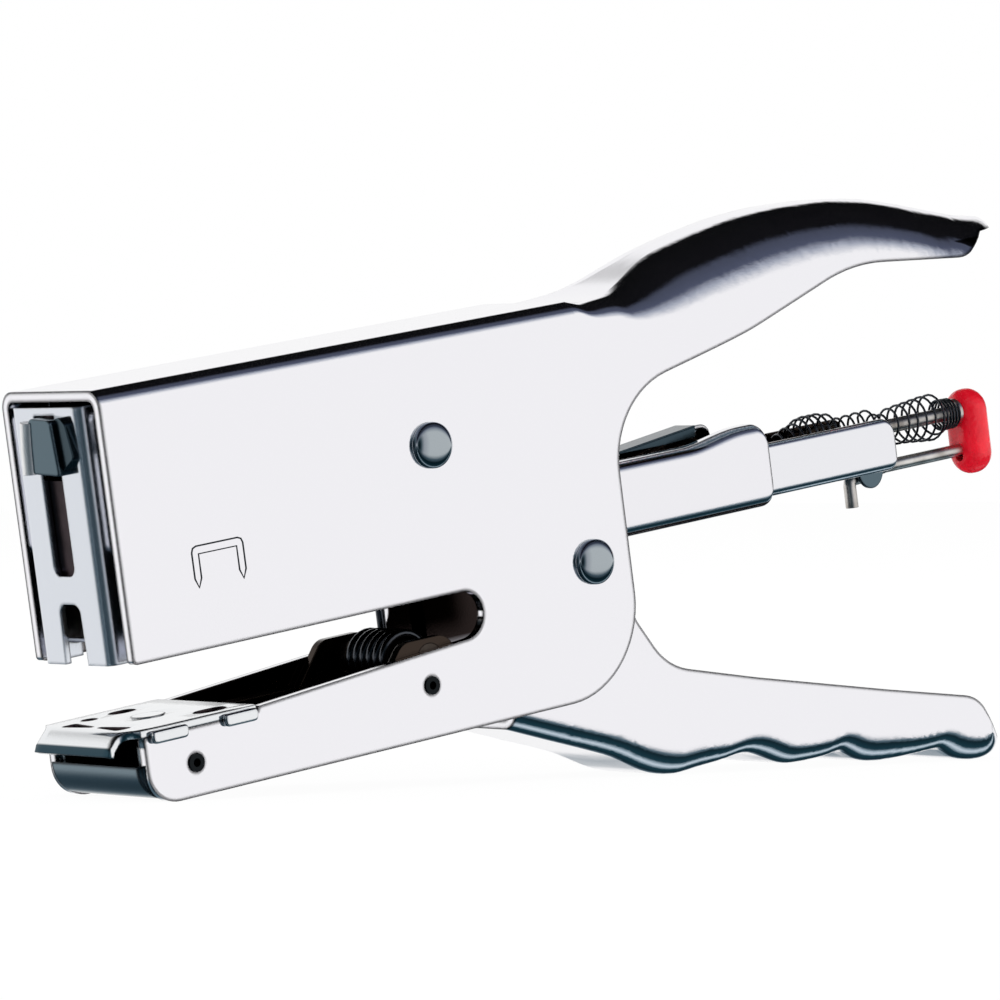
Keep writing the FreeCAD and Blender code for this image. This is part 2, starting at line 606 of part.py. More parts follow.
def make_return_spring():
    """Torsion spring on a pin in the jaw: one leg lies on the liner, one lifts the magazine."""
    pin = rod("Y", s.coil_x, -INSIDE, s.coil_z, s.rivet_shank, 2 * INSIDE)
    join("spring_pin", [pin, rod("Y", s.coil_x, -5.2, s.coil_z, s.rivet_shank + 0.3, 10.4)])
    r, wire, turns = float(s.coil_radius), float(s.coil_wire), 6
    height = turns * (wire + 0.12)
    coil = wound(turns, height, r, wire)
    # the helix is built along Z from (r, 0); turned, it runs along Y and its ends point up
    coil.rotate(Vector(0, 0, 0), Vector(1, 0, 0), -90)
    coil.translate(Vector(s.coil_x, -height / 2, s.coil_z))
    x = s.coil_x + r
    # each leg is drawn a little thinner and starts inside the wire's end
    leg, into = wire * 0.45, 0.25
    up = Part.makeCylinder(leg, s.tube_low - 0.15 - s.coil_z + into, Vector(x, height / 2, s.coil_z - into),
                           Vector(0, 0, 1))
    floor = s.liner_floor + s.liner_sheet + 0.1
    down = Part.makeCylinder(leg, s.coil_z + into - floor, Vector(x, -height / 2, floor), Vector(0, 0, 1))
    return raw("return_spring", solid(coil.fuse([up, down])))


# ---------------------------------------------------------------- handle lever

def make_lower_handle():
    """Lower handle and hammer arms in one sheet: a U below with finger bumps, two flat arms ahead."""
    t = float(s.lever_sheet)
    top_plane = s.cheek_low
    end, ahead = s.grip_low_end, 3.0
    long = end - s.web_front
    # finger bumps: share of the web's length, share of their fall
    shares = ((-0.0354, -0.062), (0.0, 0.0), (0.1062, 0.1865), (0.1945, 0.345), (0.2287, 0.43), (0.2653, 0.51),
              (0.3125, 0.5622), (0.3715, 0.5492), (0.4411, 0.530), (0.4894, 0.605), (0.5354, 0.684),
              (0.5837, 0.694), (0.6344, 0.6891), (0.6781, 0.778), (0.7158, 0.828), (0.7665, 0.839),
              (0.8314, 0.8394), (0.8844, 0.9482), (0.9293, 1.0), (0.9623, 0.9948), (1.0, 0.955))
    # the bend along the bottom is taller over a bump than between two, so its crease runs smooth
    tall = ((-0.0354, 0.8), (0.1, 0.85), (0.2, 0.9), (0.2695, 1.03), (0.3416, 0.985), (0.4163, 0.7), (0.4906, 0.91),
            (0.6014, 0.79), (0.717, 1.09), (0.8137, 0.8), (0.9033, 1.1), (1.0, 1.0))
    bumps = [(s.web_front + a * long, s.web_start - b * s.bump_drop) for a, b in shares]
    start, round_end = s.web_front - ahead, 8.0
    stations = [start + i * (end - round_end - start) / 32.0 for i in range(33)]
    stations += [end - round_end * (1 - math.sin(math.radians(a))) for a in (20, 38, 54, 68, 78)]

    def scoop(inset, height):
        sections = []
        for x in stations:
            into = max(0.0, x - (end - round_end)) / round_end
            narrow = math.sqrt(1 - into * into)
            half = (LEVER - inset) * narrow
            bend = (s.web_bend * glide(tall, (x - s.web_front) / long) - inset) * (0.35 + 0.65 * narrow)
            sections.append(channel_section(x - inset * into, half, glide(bumps, x) + inset, height,
                                            min(bend, 0.93 * half)))
        return loft(sections)

    grip, fall, high = end - s.rear_edge, s.bump_drop, s.web_start
    edge = [(s.web_front, top_plane + 5), (s.rear_edge + 0.4, top_plane + 5), (s.rear_edge + 0.4, top_plane, 6.0),
            (s.rear_edge + 0.0786 * grip, high + 0.171 * fall, 9.0),
            (s.rear_edge + 0.3019 * grip, high - 0.0415 * fall, 30.0),
            (s.rear_edge + 0.6399 * grip, high - 0.3368 * fall, 60.0),
            (s.rear_edge + 0.885 * grip, high - 0.54 * fall, 6.0), (end - 3.2, high - 0.8653 * fall, 1.2),
            (end + 3.0, high - 0.9016 * fall), (end + 3.0, high - 2 * fall), (s.web_front, high - 2 * fall)]
    tray = scoop(0.0, top_plane).cut(scoop(t, top_plane + 3.0)).common(slab(edge, -PAST, PAST))
    cheek = [(s.web_front, top_plane), (s.rear_edge + 0.4, top_plane), (s.rear_edge - 0.5, 0.0, 8.0),
             (s.knee_x, s.knee_z, 12.0), (s.arm_back, s.arm_top, 9.0), (s.arm_front, s.arm_top, 1.5),
             (s.arm_front, s.arm_low, 1.5), (s.arm_step_x, s.arm_step_z, 5.0), (s.web_front, s.web_top, 4.0)]
    solids = []
    for y in (LEVER_IN, -LEVER):
        plate = slab(cheek, y, y + t)
        solids.append(plate)
    whole = tray.fuse(solids)
    # the pivot's holes and the curved slots that the upper rivet runs in
    reach = math.hypot(s.stop_x, s.stop_z)
    start = math.atan2(s.stop_z, s.stop_x)
    swing = math.radians(s.squeeze_angle)
    wide = float(s.rivet_shank) + 0.3
    slot = []
    for angle in (start, start - swing):
        slot.append(cross_hole(reach * math.cos(angle), reach * math.sin(angle), wide))
    ring = cross_hole(0, 0, reach + wide).cut(cross_hole(0, 0, reach - wide))
    far, side = 2 * reach, -float(PAST)
    wedge = Part.Face(Part.makePolygon([Vector(0, side, 0),
                                        Vector(far * math.cos(start), side, far * math.sin(start)),
                                        Vector(far * math.cos(start - swing), side, far * math.sin(start - swing)),
                                        Vector(0, side, 0)])).extrude(Vector(0, -2 * side, 0))
    slot.append(ring.common(wedge))
    holes = [cross_hole(0, 0, s.rivet_shank + s.fit)] + slot
    for x in bridge_pins():
        holes.append(cross_hole(x, s.arm_top - 4.6, 1.2))
    return raw("lower_handle", solid(whole.cut(holes)))


def bridge_pins():
    return (s.bridge_front + 4.0, s.bridge_back - 4.0)


def make_hammer():
    """The bridge between the arms, and the two hooks that reach through the guide's slot."""
    owner = body("hammer_bridge")
    t, top = s.bridge_sheet, s.arm_top - 0.4
    outline = [(-LEVER_IN, top - s.bridge_depth), (-LEVER_IN, top), (LEVER_IN, top), (LEVER_IN, top - s.bridge_depth),
               (LEVER_IN - t, top - s.bridge_depth), (LEVER_IN - t, top - t), (-(LEVER_IN - t), top - t),
               (-(LEVER_IN - t), top - s.bridge_depth)]
    feature(owner, "Pad", sketch(owner, "YZ", [outline], offset=s.bridge_front),
            s.bridge_back - s.bridge_front, symmetric=False)
    pins = [(x, s.arm_top - 4.6, 1.2) for x in bridge_pins()]
    feature(owner, "Pocket", sketch(owner, "XZ", pins), 2 * HALF)
    rivets = []
    for x in bridge_pins():
        for y, inner in ((-LEVER, LEVER_IN), (LEVER_IN - t, -LEVER_IN)):
            shank = rod("Y", x, y, s.arm_top - 4.6, 1.2, s.lever_sheet + t)
            rim = y + s.lever_sheet + t if y < 0 else y - 0.6
            rivets.append(join(None, [shank, rod("Y", x, rim, s.arm_top - 4.6, 1.9, 0.6)]))
    group("lever_rivets", rivets)

    under = top - t
    w = s.hook_sheet
    for label, side in (("hammer_hook_near", -1.0), ("hammer_hook_far", 1.0)):
        owner = body(label)
        near, far = side * 0.08, side * (0.08 + w)
        outline = [(s.bridge_back - 1.0, near), (s.hook_face, near), (s.hook_face, side * s.hook_half),
                   (s.hook_face + w, side * s.hook_half), (s.hook_face + w, far), (s.bridge_back - 1.0, far)]
        pad = feature(owner, "Pad", sketch(owner, "XY", [outline], offset=s.hook_low),
                      under - s.hook_low, symmetric=False)

        def upright(e, face=s.hook_face, y=side * s.hook_half):
            p = [v.Point for v in e.Vertexes]
            return len(p) == 2 and all(abs(q.x - face) < 0.02 and abs(q.y - y) < 0.02 for q in p)
        round_edges(owner, pad, s.hook_sheet * 0.55, upright)


# ---------------------------------------------------------------- magazine

def make_tube():
    """The magazine: a box section open along its top, flared at its rear end."""
    t, half = float(s.tube_sheet), float(s.tube_half)
    front = s.guide_face + s.guide_depth
    flare = [(front, s.tube_low), (s.tube_end, s.tube_low, 0.8), (s.tube_end, s.tube_top + s.tube_flare, 1.6),
             (s.tube_end - 3.0, s.tube_top + s.tube_flare, 8.0), (s.tube_end - 20.0, s.tube_top, 30.0), (front, s.tube_top)]
    inner = [(front - 1, s.tube_low + t), (s.tube_end + 1, s.tube_low + t), (s.tube_end + 1, s.tube_top + s.tube_flare - t),
             (s.tube_end - 3.0, s.tube_top + s.tube_flare - t, 8.0), (s.tube_end - 20.0, s.tube_top - t, 30.0),
             (front - 1, s.tube_top - t)]
    shape = slab(flare, -half, half).cut(slab(inner, -half + t, half - t))
    slit = Part.makeBox(s.tube_end - front + PAST, 2 * s.tube_slit, PAST,
                        Vector(front - 5, -s.tube_slit, s.tube_top - 2 * t - 0.2))
    notch = cross_hole(0, 0, s.rivet_shank + s.fit)
    shape = shape.cut([slit, notch])
    return raw("magazine_tube", solid(shape))


def make_guide():
    """The front guide plate, its sides bent back to the tube: slot above, notch below."""
    owner = body("front_guide")
    t, half = s.guide_sheet, s.tube_half
    back = s.guide_face + s.guide_depth
    outline = [(s.guide_face, -half), (s.guide_face, half), (back, half), (back, half - s.tube_sheet),
               (s.guide_face + t, half - s.tube_sheet), (s.guide_face + t, -(half - s.tube_sheet)),
               (back, -(half - s.tube_sheet)), (back, -half)]
    pad = feature(owner, "Pad", sketch(owner, "XY", [outline]), s.guide_top, symmetric=False)

    def upright(e):
        p = [v.Point for v in e.Vertexes]
        return (len(p) == 2 and abs(p[0].z - p[1].z) > 5
                and all(abs(q.x - s.guide_face) < 0.02 and abs(abs(q.y) - half) < 0.02 for q in p))
    round_edges(owner, pad, s.guide_bend - 0.6, upright)
    w = s.window_half
    slot = [(-w, s.window_low), (w, s.window_low), (w, s.window_top), (-w, s.window_top)]
    foot = [(-w - 0.2, -1.0), (w + 0.2, -1.0), (w, s.notch_top), (-w, s.notch_top)]
    cutter = feature(owner, "Pocket", sketch(owner, "YZ", [slot, foot], offset=s.guide_face - 1.0), 3.0,
                     symmetric=False, reverse=True)

    def inner_corner(e):
        p = [v.Point for v in e.Vertexes]
        return (len(p) == 2 and abs(p[0].x - p[1].x) > 0.5 and abs(abs(p[0].y) - w) < 0.03
                and min(abs(p[0].z - z) for z in (s.window_low, s.notch_top)) < 0.03)
    round_edges(owner, cutter, 1.2, inner_corner)


def make_hanger():
    """A saddle under the tube whose two ears hang it on the pivot rivet."""
    y0, t = s.tube_half - 1.0, 0.9
    parts = []
    for y in (-(y0 + t), y0):
        parts.append(rod("Y", 0.0, y, 0.0, 3.6, t))
        parts.append(block(-4.6, 6.5, y, y + t, -1.2, s.tube_low))
    parts.append(block(2.5, 6.5, -(y0 + t), y0 + t, s.tube_low - 0.9, s.tube_low))
    solid_part = join(None, parts)
    above = block(-20.0, 20.0, -PAST, PAST, s.tube_low, s.tube_low + 20.0)
    cut("magazine_hanger", solid_part, [rod("Y", 0.0, -PAST, 0.0, s.rivet_shank + s.fit, 2 * PAST), above])


def make_driver():
    """The driver blade behind the guide plate, with the window that the hooks reach through."""
    owner = body("driver_blade")
    x = s.guide_face + s.guide_sheet + 0.1
    h, w = s.driver_half, s.window_half
    outline = [(-h, s.driver_low), (h, s.driver_low), (h, s.arm_top), (-h, s.arm_top)]
    window = [(-w, s.hook_low - 0.45), (w, s.hook_low - 0.45), (w, s.arm_top - 0.9), (-w, s.arm_top - 0.9)]
    feature(owner, "Pad", sketch(owner, "YZ", [outline, window], offset=x), s.driver_sheet, symmetric=False)


def wound(turns, length, radius, wire):
    """A helical spring along Z from the origin, its ends on the X side."""
    pitch = length / turns
    helix = Part.makeHelix(pitch, length, radius)
    ring = Part.Wire(Part.makeCircle(wire / 2, Vector(radius, 0, 0), Vector(0, radius, pitch / (2 * math.pi))))
    return Part.Wire(helix.Edges).makePipeShell([ring], True, True)


def make_lift_springs():
    """Two compression springs between the tube's lips and the bridge: they keep the driver raised."""
    wire, radius = float(s.lift_wire), float(s.lift_radius)
    low = s.tube_top + wire / 2 + 0.02
    high = s.arm_top - 0.4 - s.bridge_sheet - wire / 2 - 0.05
    x = (s.bridge_front + s.bridge_back) / 2
    beside = LEVER_IN - s.bridge_sheet - radius - wire / 2 - 0.1
    coils = []
    for y in (-beside, beside):
        coil = wound(6, high - low, radius, wire)
        coil.translate(Vector(x, y, low))
        coils.append(coil)
    return raw("lift_springs", Part.makeCompound(coils))


# ---------------------------------------------------------------- rail and feed

def make_rail():
    """The rail that staples ride on, an open U, with a rounded ear under its rear end."""
    t, half = s.rail_sheet, s.rail_half
    front = s.guide_face + s.guide_sheet + s.driver_sheet + 0.5
    owner = body("staple_rail")
    outline = [(-half, s.rail_top), (-half, s.rail_low), (half, s.rail_low), (half, s.rail_top), (half - t, s.rail_top),
               (half - t, s.rail_low + t), (-(half - t), s.rail_low + t), (-(half - t), s.rail_top)]
    pad = feature(owner, "Pad", sketch(owner, "YZ", [outline], offset=front), s.rail_end - front, symmetric=False)

    def long_edge(e):
        p = [v.Point for v in e.Vertexes]
        return (len(p) == 2 and abs(p[0].x - p[1].x) > 20 and abs(abs(p[0].y) - half) < 0.02
                and abs(p[0].z - s.rail_low) < 0.02)
    soft = round_edges(owner, pad, 0.9 * s.rail_sheet, long_edge)
    corners = round_edges(owner, soft, 1.6, lambda e: len(e.Vertexes) == 2 and all(
        abs(v.Point.x - s.rail_end) < 0.02 and abs(v.Point.z - s.rail_top) < 0.02 for v in e.Vertexes)
        and abs(e.Vertexes[0].Point.y - e.Vertexes[1].Point.y) < 0.9)
    y, ear = s.lock_radius + 0.25, s.rail_end - s.ear_set
    sk = sketch(owner, "XZ", [(ear, s.rail_low - 0.3, s.ear_round)], offset=-(y + t))
    tab = feature(owner, "Pad", sk, t, symmetric=False)
    wide = s.ear_round + 0.9
    trim = [(ear - wide, s.rail_low + t), (ear + wide, s.rail_low + t), (ear + wide, s.rail_low + 4.0),
            (ear - wide, s.rail_low + 4.0)]
    feature(owner, "Pocket", sketch(owner, "XZ", [trim]), 2 * (half - t) - 0.2)

    nose = block(front, front + 3.0, -(half - t), half - t, s.rail_low + t, s.rail_top - 0.3)
    seat = rod("X", front - 1.0, 0.0, s.rod_z, s.rod_radius, 6.0)
    cut("rail_nose", nose, [seat])


def make_feed():
    """Follower, its spring and rod, the lower rod, the knob and a strip of staples."""
    front = s.guide_face + s.guide_sheet + s.driver_sheet + 0.4
    t, half = s.staple_wire, s.staple_half
    crown = s.rail_top + 0.05
    owner = body("staple_strip")
    outline = [(-half, crown + t - s.staple_leg), (-half, crown + t), (half, crown + t), (half, crown + t - s.staple_leg),
               (half - t, crown + t - s.staple_leg), (half - t, crown), (-(half - t), crown),
               (-(half - t), crown + t - s.staple_leg)]
    feature(owner, "Pad", sketch(owner, "YZ", [outline], offset=front), s.strip_back - front, symmetric=False)

    x0, x1 = s.strip_back + 0.3, s.strip_back + 0.3 + s.follower_long
    gap = 0.3
    inner = s.rail_half - s.rail_sheet - gap
    base = s.rail_low + s.rail_sheet + gap
    hood = block(x0, x1, -half + 0.1, half - 0.1, s.rail_top + gap, s.rail_top + gap + 0.6)
    core = block(x0, x1, -inner, inner, base, s.rail_top + gap + 0.3)
    hole = rod("X", x0 - 1.0, 0.0, s.rod_z, s.rod_radius + 0.1, s.follower_long + 2.0)
    cut("follower", join(None, [hood, core]), [hole])

    # the knob: a pill with sockets for both rods
    kx, kz, tall, wide, thick = s.knob_x, s.knob_z, s.knob_tall, s.knob_wide, s.knob_thick
    knob = body("pull_knob")
    r = wide / 2
    straight = tall / 2 - r
    sk = sketch(knob, "YZ", [[(-r, kz - straight), (r, kz - straight), (r, kz + straight), (-r, kz + straight)]],
                offset=kx - thick / 2)
    feature(knob, "Pad", sk, thick, symmetric=False)
    for z in (kz - straight, kz + straight):
        feature(knob, "Pad", sketch(knob, "YZ", [(0.0, z, r)], offset=kx - thick / 2), thick, symmetric=False)
    tip = knob.Tip
    faces = (kx - thick / 2, kx + thick / 2)
    rim = round_edges(knob, tip, thick * 0.46, lambda e: min(abs(e.CenterOfMass.x - f) for f in faces) < 0.01
                      and min(abs(v.Point.x - f) for f in faces for v in e.Vertexes) < 0.01
                      and (e.CenterOfMass - Vector(e.CenterOfMass.x, 0, kz)).Length > r * 0.6)
    depth = thick * 0.55
    feature(knob, "Pocket", sketch(knob, "YZ", [(0.0, s.rod_z, s.rod_radius), (0.0, s.lock_z, s.lock_radius)],
                                   offset=kx - thick / 2 - 1.0), depth + 1.0, symmetric=False, reverse=True)
    socket = kx - thick / 2 + depth

    start = s.guide_face + s.guide_sheet + s.driver_sheet + 0.6
    join("guide_rod", [rod("X", start, 0.0, s.rod_z, s.rod_radius, socket - start),
                       rod("X", kx - thick / 2 - 0.8, 0.0, s.rod_z, s.rod_radius + 0.9, 0.8)])
    ball = doc.addObject("Part::Sphere", "elbow")
    bind(ball, Radius=s.lock_radius)
    place(ball, s.lock_hook, 0.0, s.lock_z)
    tip_ball = doc.addObject("Part::Sphere", "hook_end")
    bind(tip_ball, Radius=s.lock_radius)
    place(tip_ball, s.lock_hook, 0.0, s.lock_z - 2.9)
    join("lock_rod", [rod("X", s.lock_hook, 0.0, s.lock_z, s.lock_radius, socket - s.lock_hook), ball, tip_ball,
                      rod("Z", s.lock_hook, 0.0, s.lock_z - 2.9, s.lock_radius, 2.9)])

    back = kx - thick / 2 - 0.8
    wire, radius = float(s.pusher_wire), float(s.pusher_radius)
    low, high = x1 + wire * 0.6, back - wire * 0.6
    coil = wound(30, high - low, radius, wire)
    coil.rotate(Vector(0, 0, 0), Vector(0, 1, 0), 90)
    coil.translate(Vector(low, 0, s.rod_z))
    raw("pusher_spring", coil)


def make_latch():
    """The catch that holds the rail in: a sheet lever on a pin in a bracket on the tube."""
    t, half, ear, gap = s.latch_sheet, s.latch_half, s.latch_ear, s.latch_gap
    x, z, shaft, eye = s.latch_x, s.latch_z, s.latch_shaft, s.latch_eye
    foot = 0.6
    parts = []
    for y in (-(half + gap + ear), half + gap):
        parts.append(block(x - 2.4, x + 2.4, y, y + ear, s.tube_top, z))
        parts.append(rod("Y", x, y, z, shaft + 1.1, ear))
    # feet on the tube's lips
    for y0, y1 in ((-(half + gap + ear + 1.3), -(half + gap)), (half + gap, half + gap + ear + 1.3)):
        parts.append(block(x - 5.0, x + 2.4, y0, y1, s.tube_top, s.tube_top + foot))
    bridge = block(x - 5.0, x - 4.2, -(half + gap + ear), half + gap + ear, s.tube_top, s.tube_top + foot)
    solid_part = join(None, parts + [bridge])
    cut("latch_bracket", solid_part, [rod("Y", x, -PAST, z, shaft, 2 * PAST)])
    reach = half + gap + ear + 0.3
    join("latch_pin", [rod("Y", x, -reach, z, shaft, 2 * reach), rod("Y", x, -reach - 0.4, z, shaft + 0.4, 0.4),
                       rod("Y", x, reach, z, shaft + 0.4, 0.4)])

    end, rise, drop = s.latch_end, s.latch_rise, s.flange_drop
    z0, tip = z - 0.55, x - 1.0
    blade = slab([(tip, z0), (end, z0 + rise), (end, z0 + rise + t), (tip, z0 + t)], -half, half)
    flange = [(x + s.flange_start, z0 + 0.5 * t), (end, z0 + rise + 0.1), (end, z0 + rise - drop + 0.05),
              (end - drop, z0 + rise - drop)]
    knuckles = [Part.makeCylinder(eye, half - s.latch_lug, Vector(x, y, z), Vector(0, 1, 0))
                for y in (-half, s.latch_lug)]
    shape = blade.fuse([slab(flange, -half, -half + 0.7), slab(flange, half - 0.7, half)] + knuckles)
    room = Part.makeBox(2 * eye + 1.7, 2 * s.latch_lug, 6 * eye, Vector(x - eye - 1.25, -s.latch_lug, z - 3 * eye))
    shape = shape.cut([cross_hole(x, z, shaft + s.fit), room])
    raw("latch_lever", solid(shape))

    # torsion spring on the pin: one leg on the bracket, one under the lever
    wire, radius, turns = 0.5, shaft + 0.35, 4
    height = turns * (wire + 0.06)
    coil = wound(turns, height, float(radius), wire)
    coil.rotate(Vector(0, 0, 0), Vector(0, 0, 1), 90)
    coil.rotate(Vector(0, 0, 0), Vector(1, 0, 0), -90)
    coil.translate(Vector(x, -height / 2, z))
    foot = z - radius
    rear = Vector(x + 7.0, 0, z0 - 0.05) - Vector(x, 0, foot)
    # each leg is drawn a little thinner and starts inside the wire's end
    legs = [Part.makeCylinder(wire * 0.4, 4.7, Vector(x + 0.1, -height / 2, foot), Vector(-1, 0, 0)),
            Part.makeCylinder(wire * 0.4, rear.Length + 0.1,
                              Vector(x, height / 2, foot) - Vector(rear).normalize() * 0.1, rear)]
    raw("latch_spring", solid(coil.fuse(legs)))


def all_pieces():
    make_frame_shell()
    make_jaw_liner()
    make_anvil()
    moved = make_rivets()
    make_return_spring()
    make_lower_handle()
    make_hammer()
    make_tube()
    make_guide()
    make_hanger()
    make_driver()
    make_lift_springs()
    make_rail()
    make_feed()
    make_latch()
    return {owner.Label: (x, z) for owner, x, z in moved}


def lowest(label, pitch, side):
    """Lowest height of a node's points, ahead of or behind the pivot, after a pitch."""
    turn = Rotation(Vector(0, 1, 0), -pitch)
    points = nodes[label].Shape.tessellate(0.1)[0]
    return min(turn.multVec(p).z for p in points if p.x * side > 0)


def standing_pitch():
    """The pitch at which the nose and the finger bumps touch the same level."""
    low, high = 2.0, 20.0
    for _ in range(30):
        mid = (low + high) / 2
        if lowest("frame_shell", mid, -1) > lowest("lower_handle", mid, 1):
            low = mid
        else:
            high = mid
    return (low + high) / 2


offsets = all_pieces()
doc.recompute()
pitch = standing_pitch()
turn = Placement(Vector(), Rotation(Vector(0, 1, 0), -pitch))


points = []
for label, thing in nodes.items():
    x, z = offsets.get(label, (0.0, 0.0))
    where = turn.multiply(Placement(Vector(x, 0, z), Rotation()))
    points += [where.multVec(p) for p in thing.Shape.tessellate(0.05)[0]]
low_x, high_x = min(p.x for p in points), max(p.x for p in points)
low_z = min(p.z for p in points)
stand = Placement(Vector(-(low_x + high_x) / 2, 0, -low_z), turn.Rotation)
for label, thing in nodes.items():
    x, z = offsets.get(label, (0.0, 0.0))
    thing.Placement = stand.multiply(Placement(Vector(x, 0, z), Rotation()))
doc.recompute()

for thing in doc.Objects:
    if "Invalid" in thing.State or "Error" in thing.State:
        raise RuntimeError("%s (%s) failed: %s" % (thing.Name, thing.Label, thing.State))
os.makedirs("parts", exist_ok=True)
for label, thing in nodes.items():
    shape = thing.Shape
    if shape.isNull() or not shape.isValid() or not shape.Solids:
        raise RuntimeError("bad shape: " + label)
    shape.exportStep("parts/%s.step" % label)
    print("%-18s solids %d volume %9.1f" % (label, len(shape.Solids), shape.Volume))
print("nodes", len(nodes), "pitch", round(pitch, 4), "stand", [round(v, 4) for v in stand.Base])
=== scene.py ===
# %% [markdown]
# # A chromed stapling plier
# The tool is squeezed like a pair of pliers: a pressed shell is head, jaw and upper handle in
# one sheet, and a lower handle drives the hammer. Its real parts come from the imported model, which
# stays as it is. This lesson gives each part its finish, draws the parts that the eye rests on
# again with their true rounds (springs, magazine, rail, rivets, hooks, latch and clinching plate),
# adds a staple mark to the cheek, and lights it all as polished metal is lit.

import json
import math

import bmesh
import bpy
from mathutils import Matrix, Vector


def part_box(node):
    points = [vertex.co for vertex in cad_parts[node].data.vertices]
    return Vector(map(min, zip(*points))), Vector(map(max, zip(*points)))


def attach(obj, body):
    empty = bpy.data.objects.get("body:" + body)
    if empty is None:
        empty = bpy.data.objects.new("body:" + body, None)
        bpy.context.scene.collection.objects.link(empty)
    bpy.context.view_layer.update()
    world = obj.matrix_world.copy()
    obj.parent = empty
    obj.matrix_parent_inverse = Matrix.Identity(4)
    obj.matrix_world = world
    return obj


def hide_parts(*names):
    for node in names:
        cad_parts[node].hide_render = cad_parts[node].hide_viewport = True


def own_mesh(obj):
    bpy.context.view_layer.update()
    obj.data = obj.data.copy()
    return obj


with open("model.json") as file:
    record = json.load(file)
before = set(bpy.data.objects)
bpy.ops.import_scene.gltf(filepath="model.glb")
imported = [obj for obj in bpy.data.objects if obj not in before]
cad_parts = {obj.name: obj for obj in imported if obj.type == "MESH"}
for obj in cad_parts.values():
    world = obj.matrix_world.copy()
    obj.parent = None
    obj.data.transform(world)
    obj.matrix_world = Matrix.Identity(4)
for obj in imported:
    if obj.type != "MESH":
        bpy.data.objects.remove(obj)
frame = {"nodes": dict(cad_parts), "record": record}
nodes, record = frame["nodes"], frame["record"]
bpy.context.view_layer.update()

# %% [markdown]
# ## Two frames
# The tool stands pitched nose down, but every sheet in it was bent square to the head. A
# second frame that is turned with the head keeps the numbers simple: X runs back along
# the magazine, Z is square to the head's top, and the origin is the pivot rivet.

# %% The tool's own frame
pivot_low, pivot_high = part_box("pivot_rivet")
PIVOT = Vector([(a + b) / 2 for a, b in zip(pivot_low, pivot_high)])
pitch_axis = Vector(next(j for j in record["behaviour"]["joints"] if j["name"] == "rail_pull")["axis"])
PITCH = math.atan2(pitch_axis.z, pitch_axis.x)
TURN = Matrix.Translation(PIVOT) @ Matrix.Rotation(-PITCH, 4, "Y")
MM = 0.001


def at(x, y, z):
    """A point given in millimetres in the tool's own frame, as a place in the model."""
    return TURN @ Vector((x * MM, y * MM, z * MM))


print("pitch", round(math.degrees(PITCH), 3), "pivot", [round(v, 4) for v in PIVOT])

# %% [markdown]
# ## Colours and nodes
# Colours are picked as sRGB hex values, the way that a paint chart gives them, and a
# shader wants linear light. One function turns the first into the second, and another adds
# a node with its settings and its links, so a material reads as a short list. Three more start
# a material, make a colour ramp and give a grey.

# %% Helpers for materials


def colour(text):
    """An sRGB hex value as linear RGBA."""
    parts = [int(text[i:i + 2], 16) / 255 for i in (1, 3, 5)]
    return tuple(p / 12.92 if p <= 0.04045 else ((p + 0.055) / 1.055) ** 2.4 for p in parts) + (1.0,)


def add(tree, kind, settings=None, **inputs):
    """Add a node: settings are its properties, inputs are values or another node's output.

    An input goes by its name, with _ for a space, or by its number, as i0, i1 and so on."""
    node = tree.nodes.new(kind)
    for key, value in (settings or {}).items():
        setattr(node, key, value)
    for name, value in inputs.items():
        numbered = name[0] == "i" and name[1:].isdigit()
        socket = node.inputs[int(name[1:]) if numbered else name.replace("_", " ")]
        if isinstance(value, bpy.types.NodeSocket):
            tree.links.new(value, socket)
        else:
            socket.default_value = value
    return node


def finish_of(name):
    """A new material: its tree, its shader, and the object's own coordinates."""
    made = bpy.data.materials.new(name)
    made.use_nodes = True
    tree = made.node_tree
    place = add(tree, "ShaderNodeTexCoord").outputs["Object"]
    return made, tree, tree.nodes["Principled BSDF"], place


def ramp(tree, value, stops):
    """A colour ramp on a value, its stops given as (place, colour)."""
    node = add(tree, "ShaderNodeValToRGB", Fac=value)
    while len(node.color_ramp.elements) < len(stops):
        node.color_ramp.elements.new(0.5)
    for element, (place, shade) in zip(node.color_ramp.elements, stops):
        element.position, element.color = place, shade
    return node.outputs["Color"]


def grey(value):
    """A neutral tone, given as linear light."""
    return (value, value, value, 1.0)


# %% [markdown]
# ## Chrome plate
# Bright nickel and chrome over pressed steel. It is a metal, so its colour is that of its
# reflection: near white, a little cold. The polish isn't perfect: a slow waviness from the press,
# and a fine haze where it was handled. Sheet edges are rolled by the barrel polish, and a Bevel node
# gives them that small round without touching the mesh. A dark line along each edge is a painted
# reflection, and painted shade darkens the colour inside folds and channels.

# %% Chrome plate
SHEET_EDGE = 0.22 * MM
ALONG, ACROSS, UP = (TURN.to_3x3() @ Vector(v) for v in ((1, 0, 0), (0, 1, 0), (0, 0, 1)))


def reading(tree, place, axis, low, high):
    """How far a place lies along an axis of the tool, from 0 at low to 1 at high, in millimetres."""
    start = axis.dot(PIVOT)
    along = add(tree, "ShaderNodeVectorMath", {"operation": "DOT_PRODUCT"}, i0=place, i1=axis)
    share = add(tree, "ShaderNodeMapRange", Value=along.outputs["Value"],
                i1=start + low * MM, i2=start + high * MM)
    return share.outputs[0]


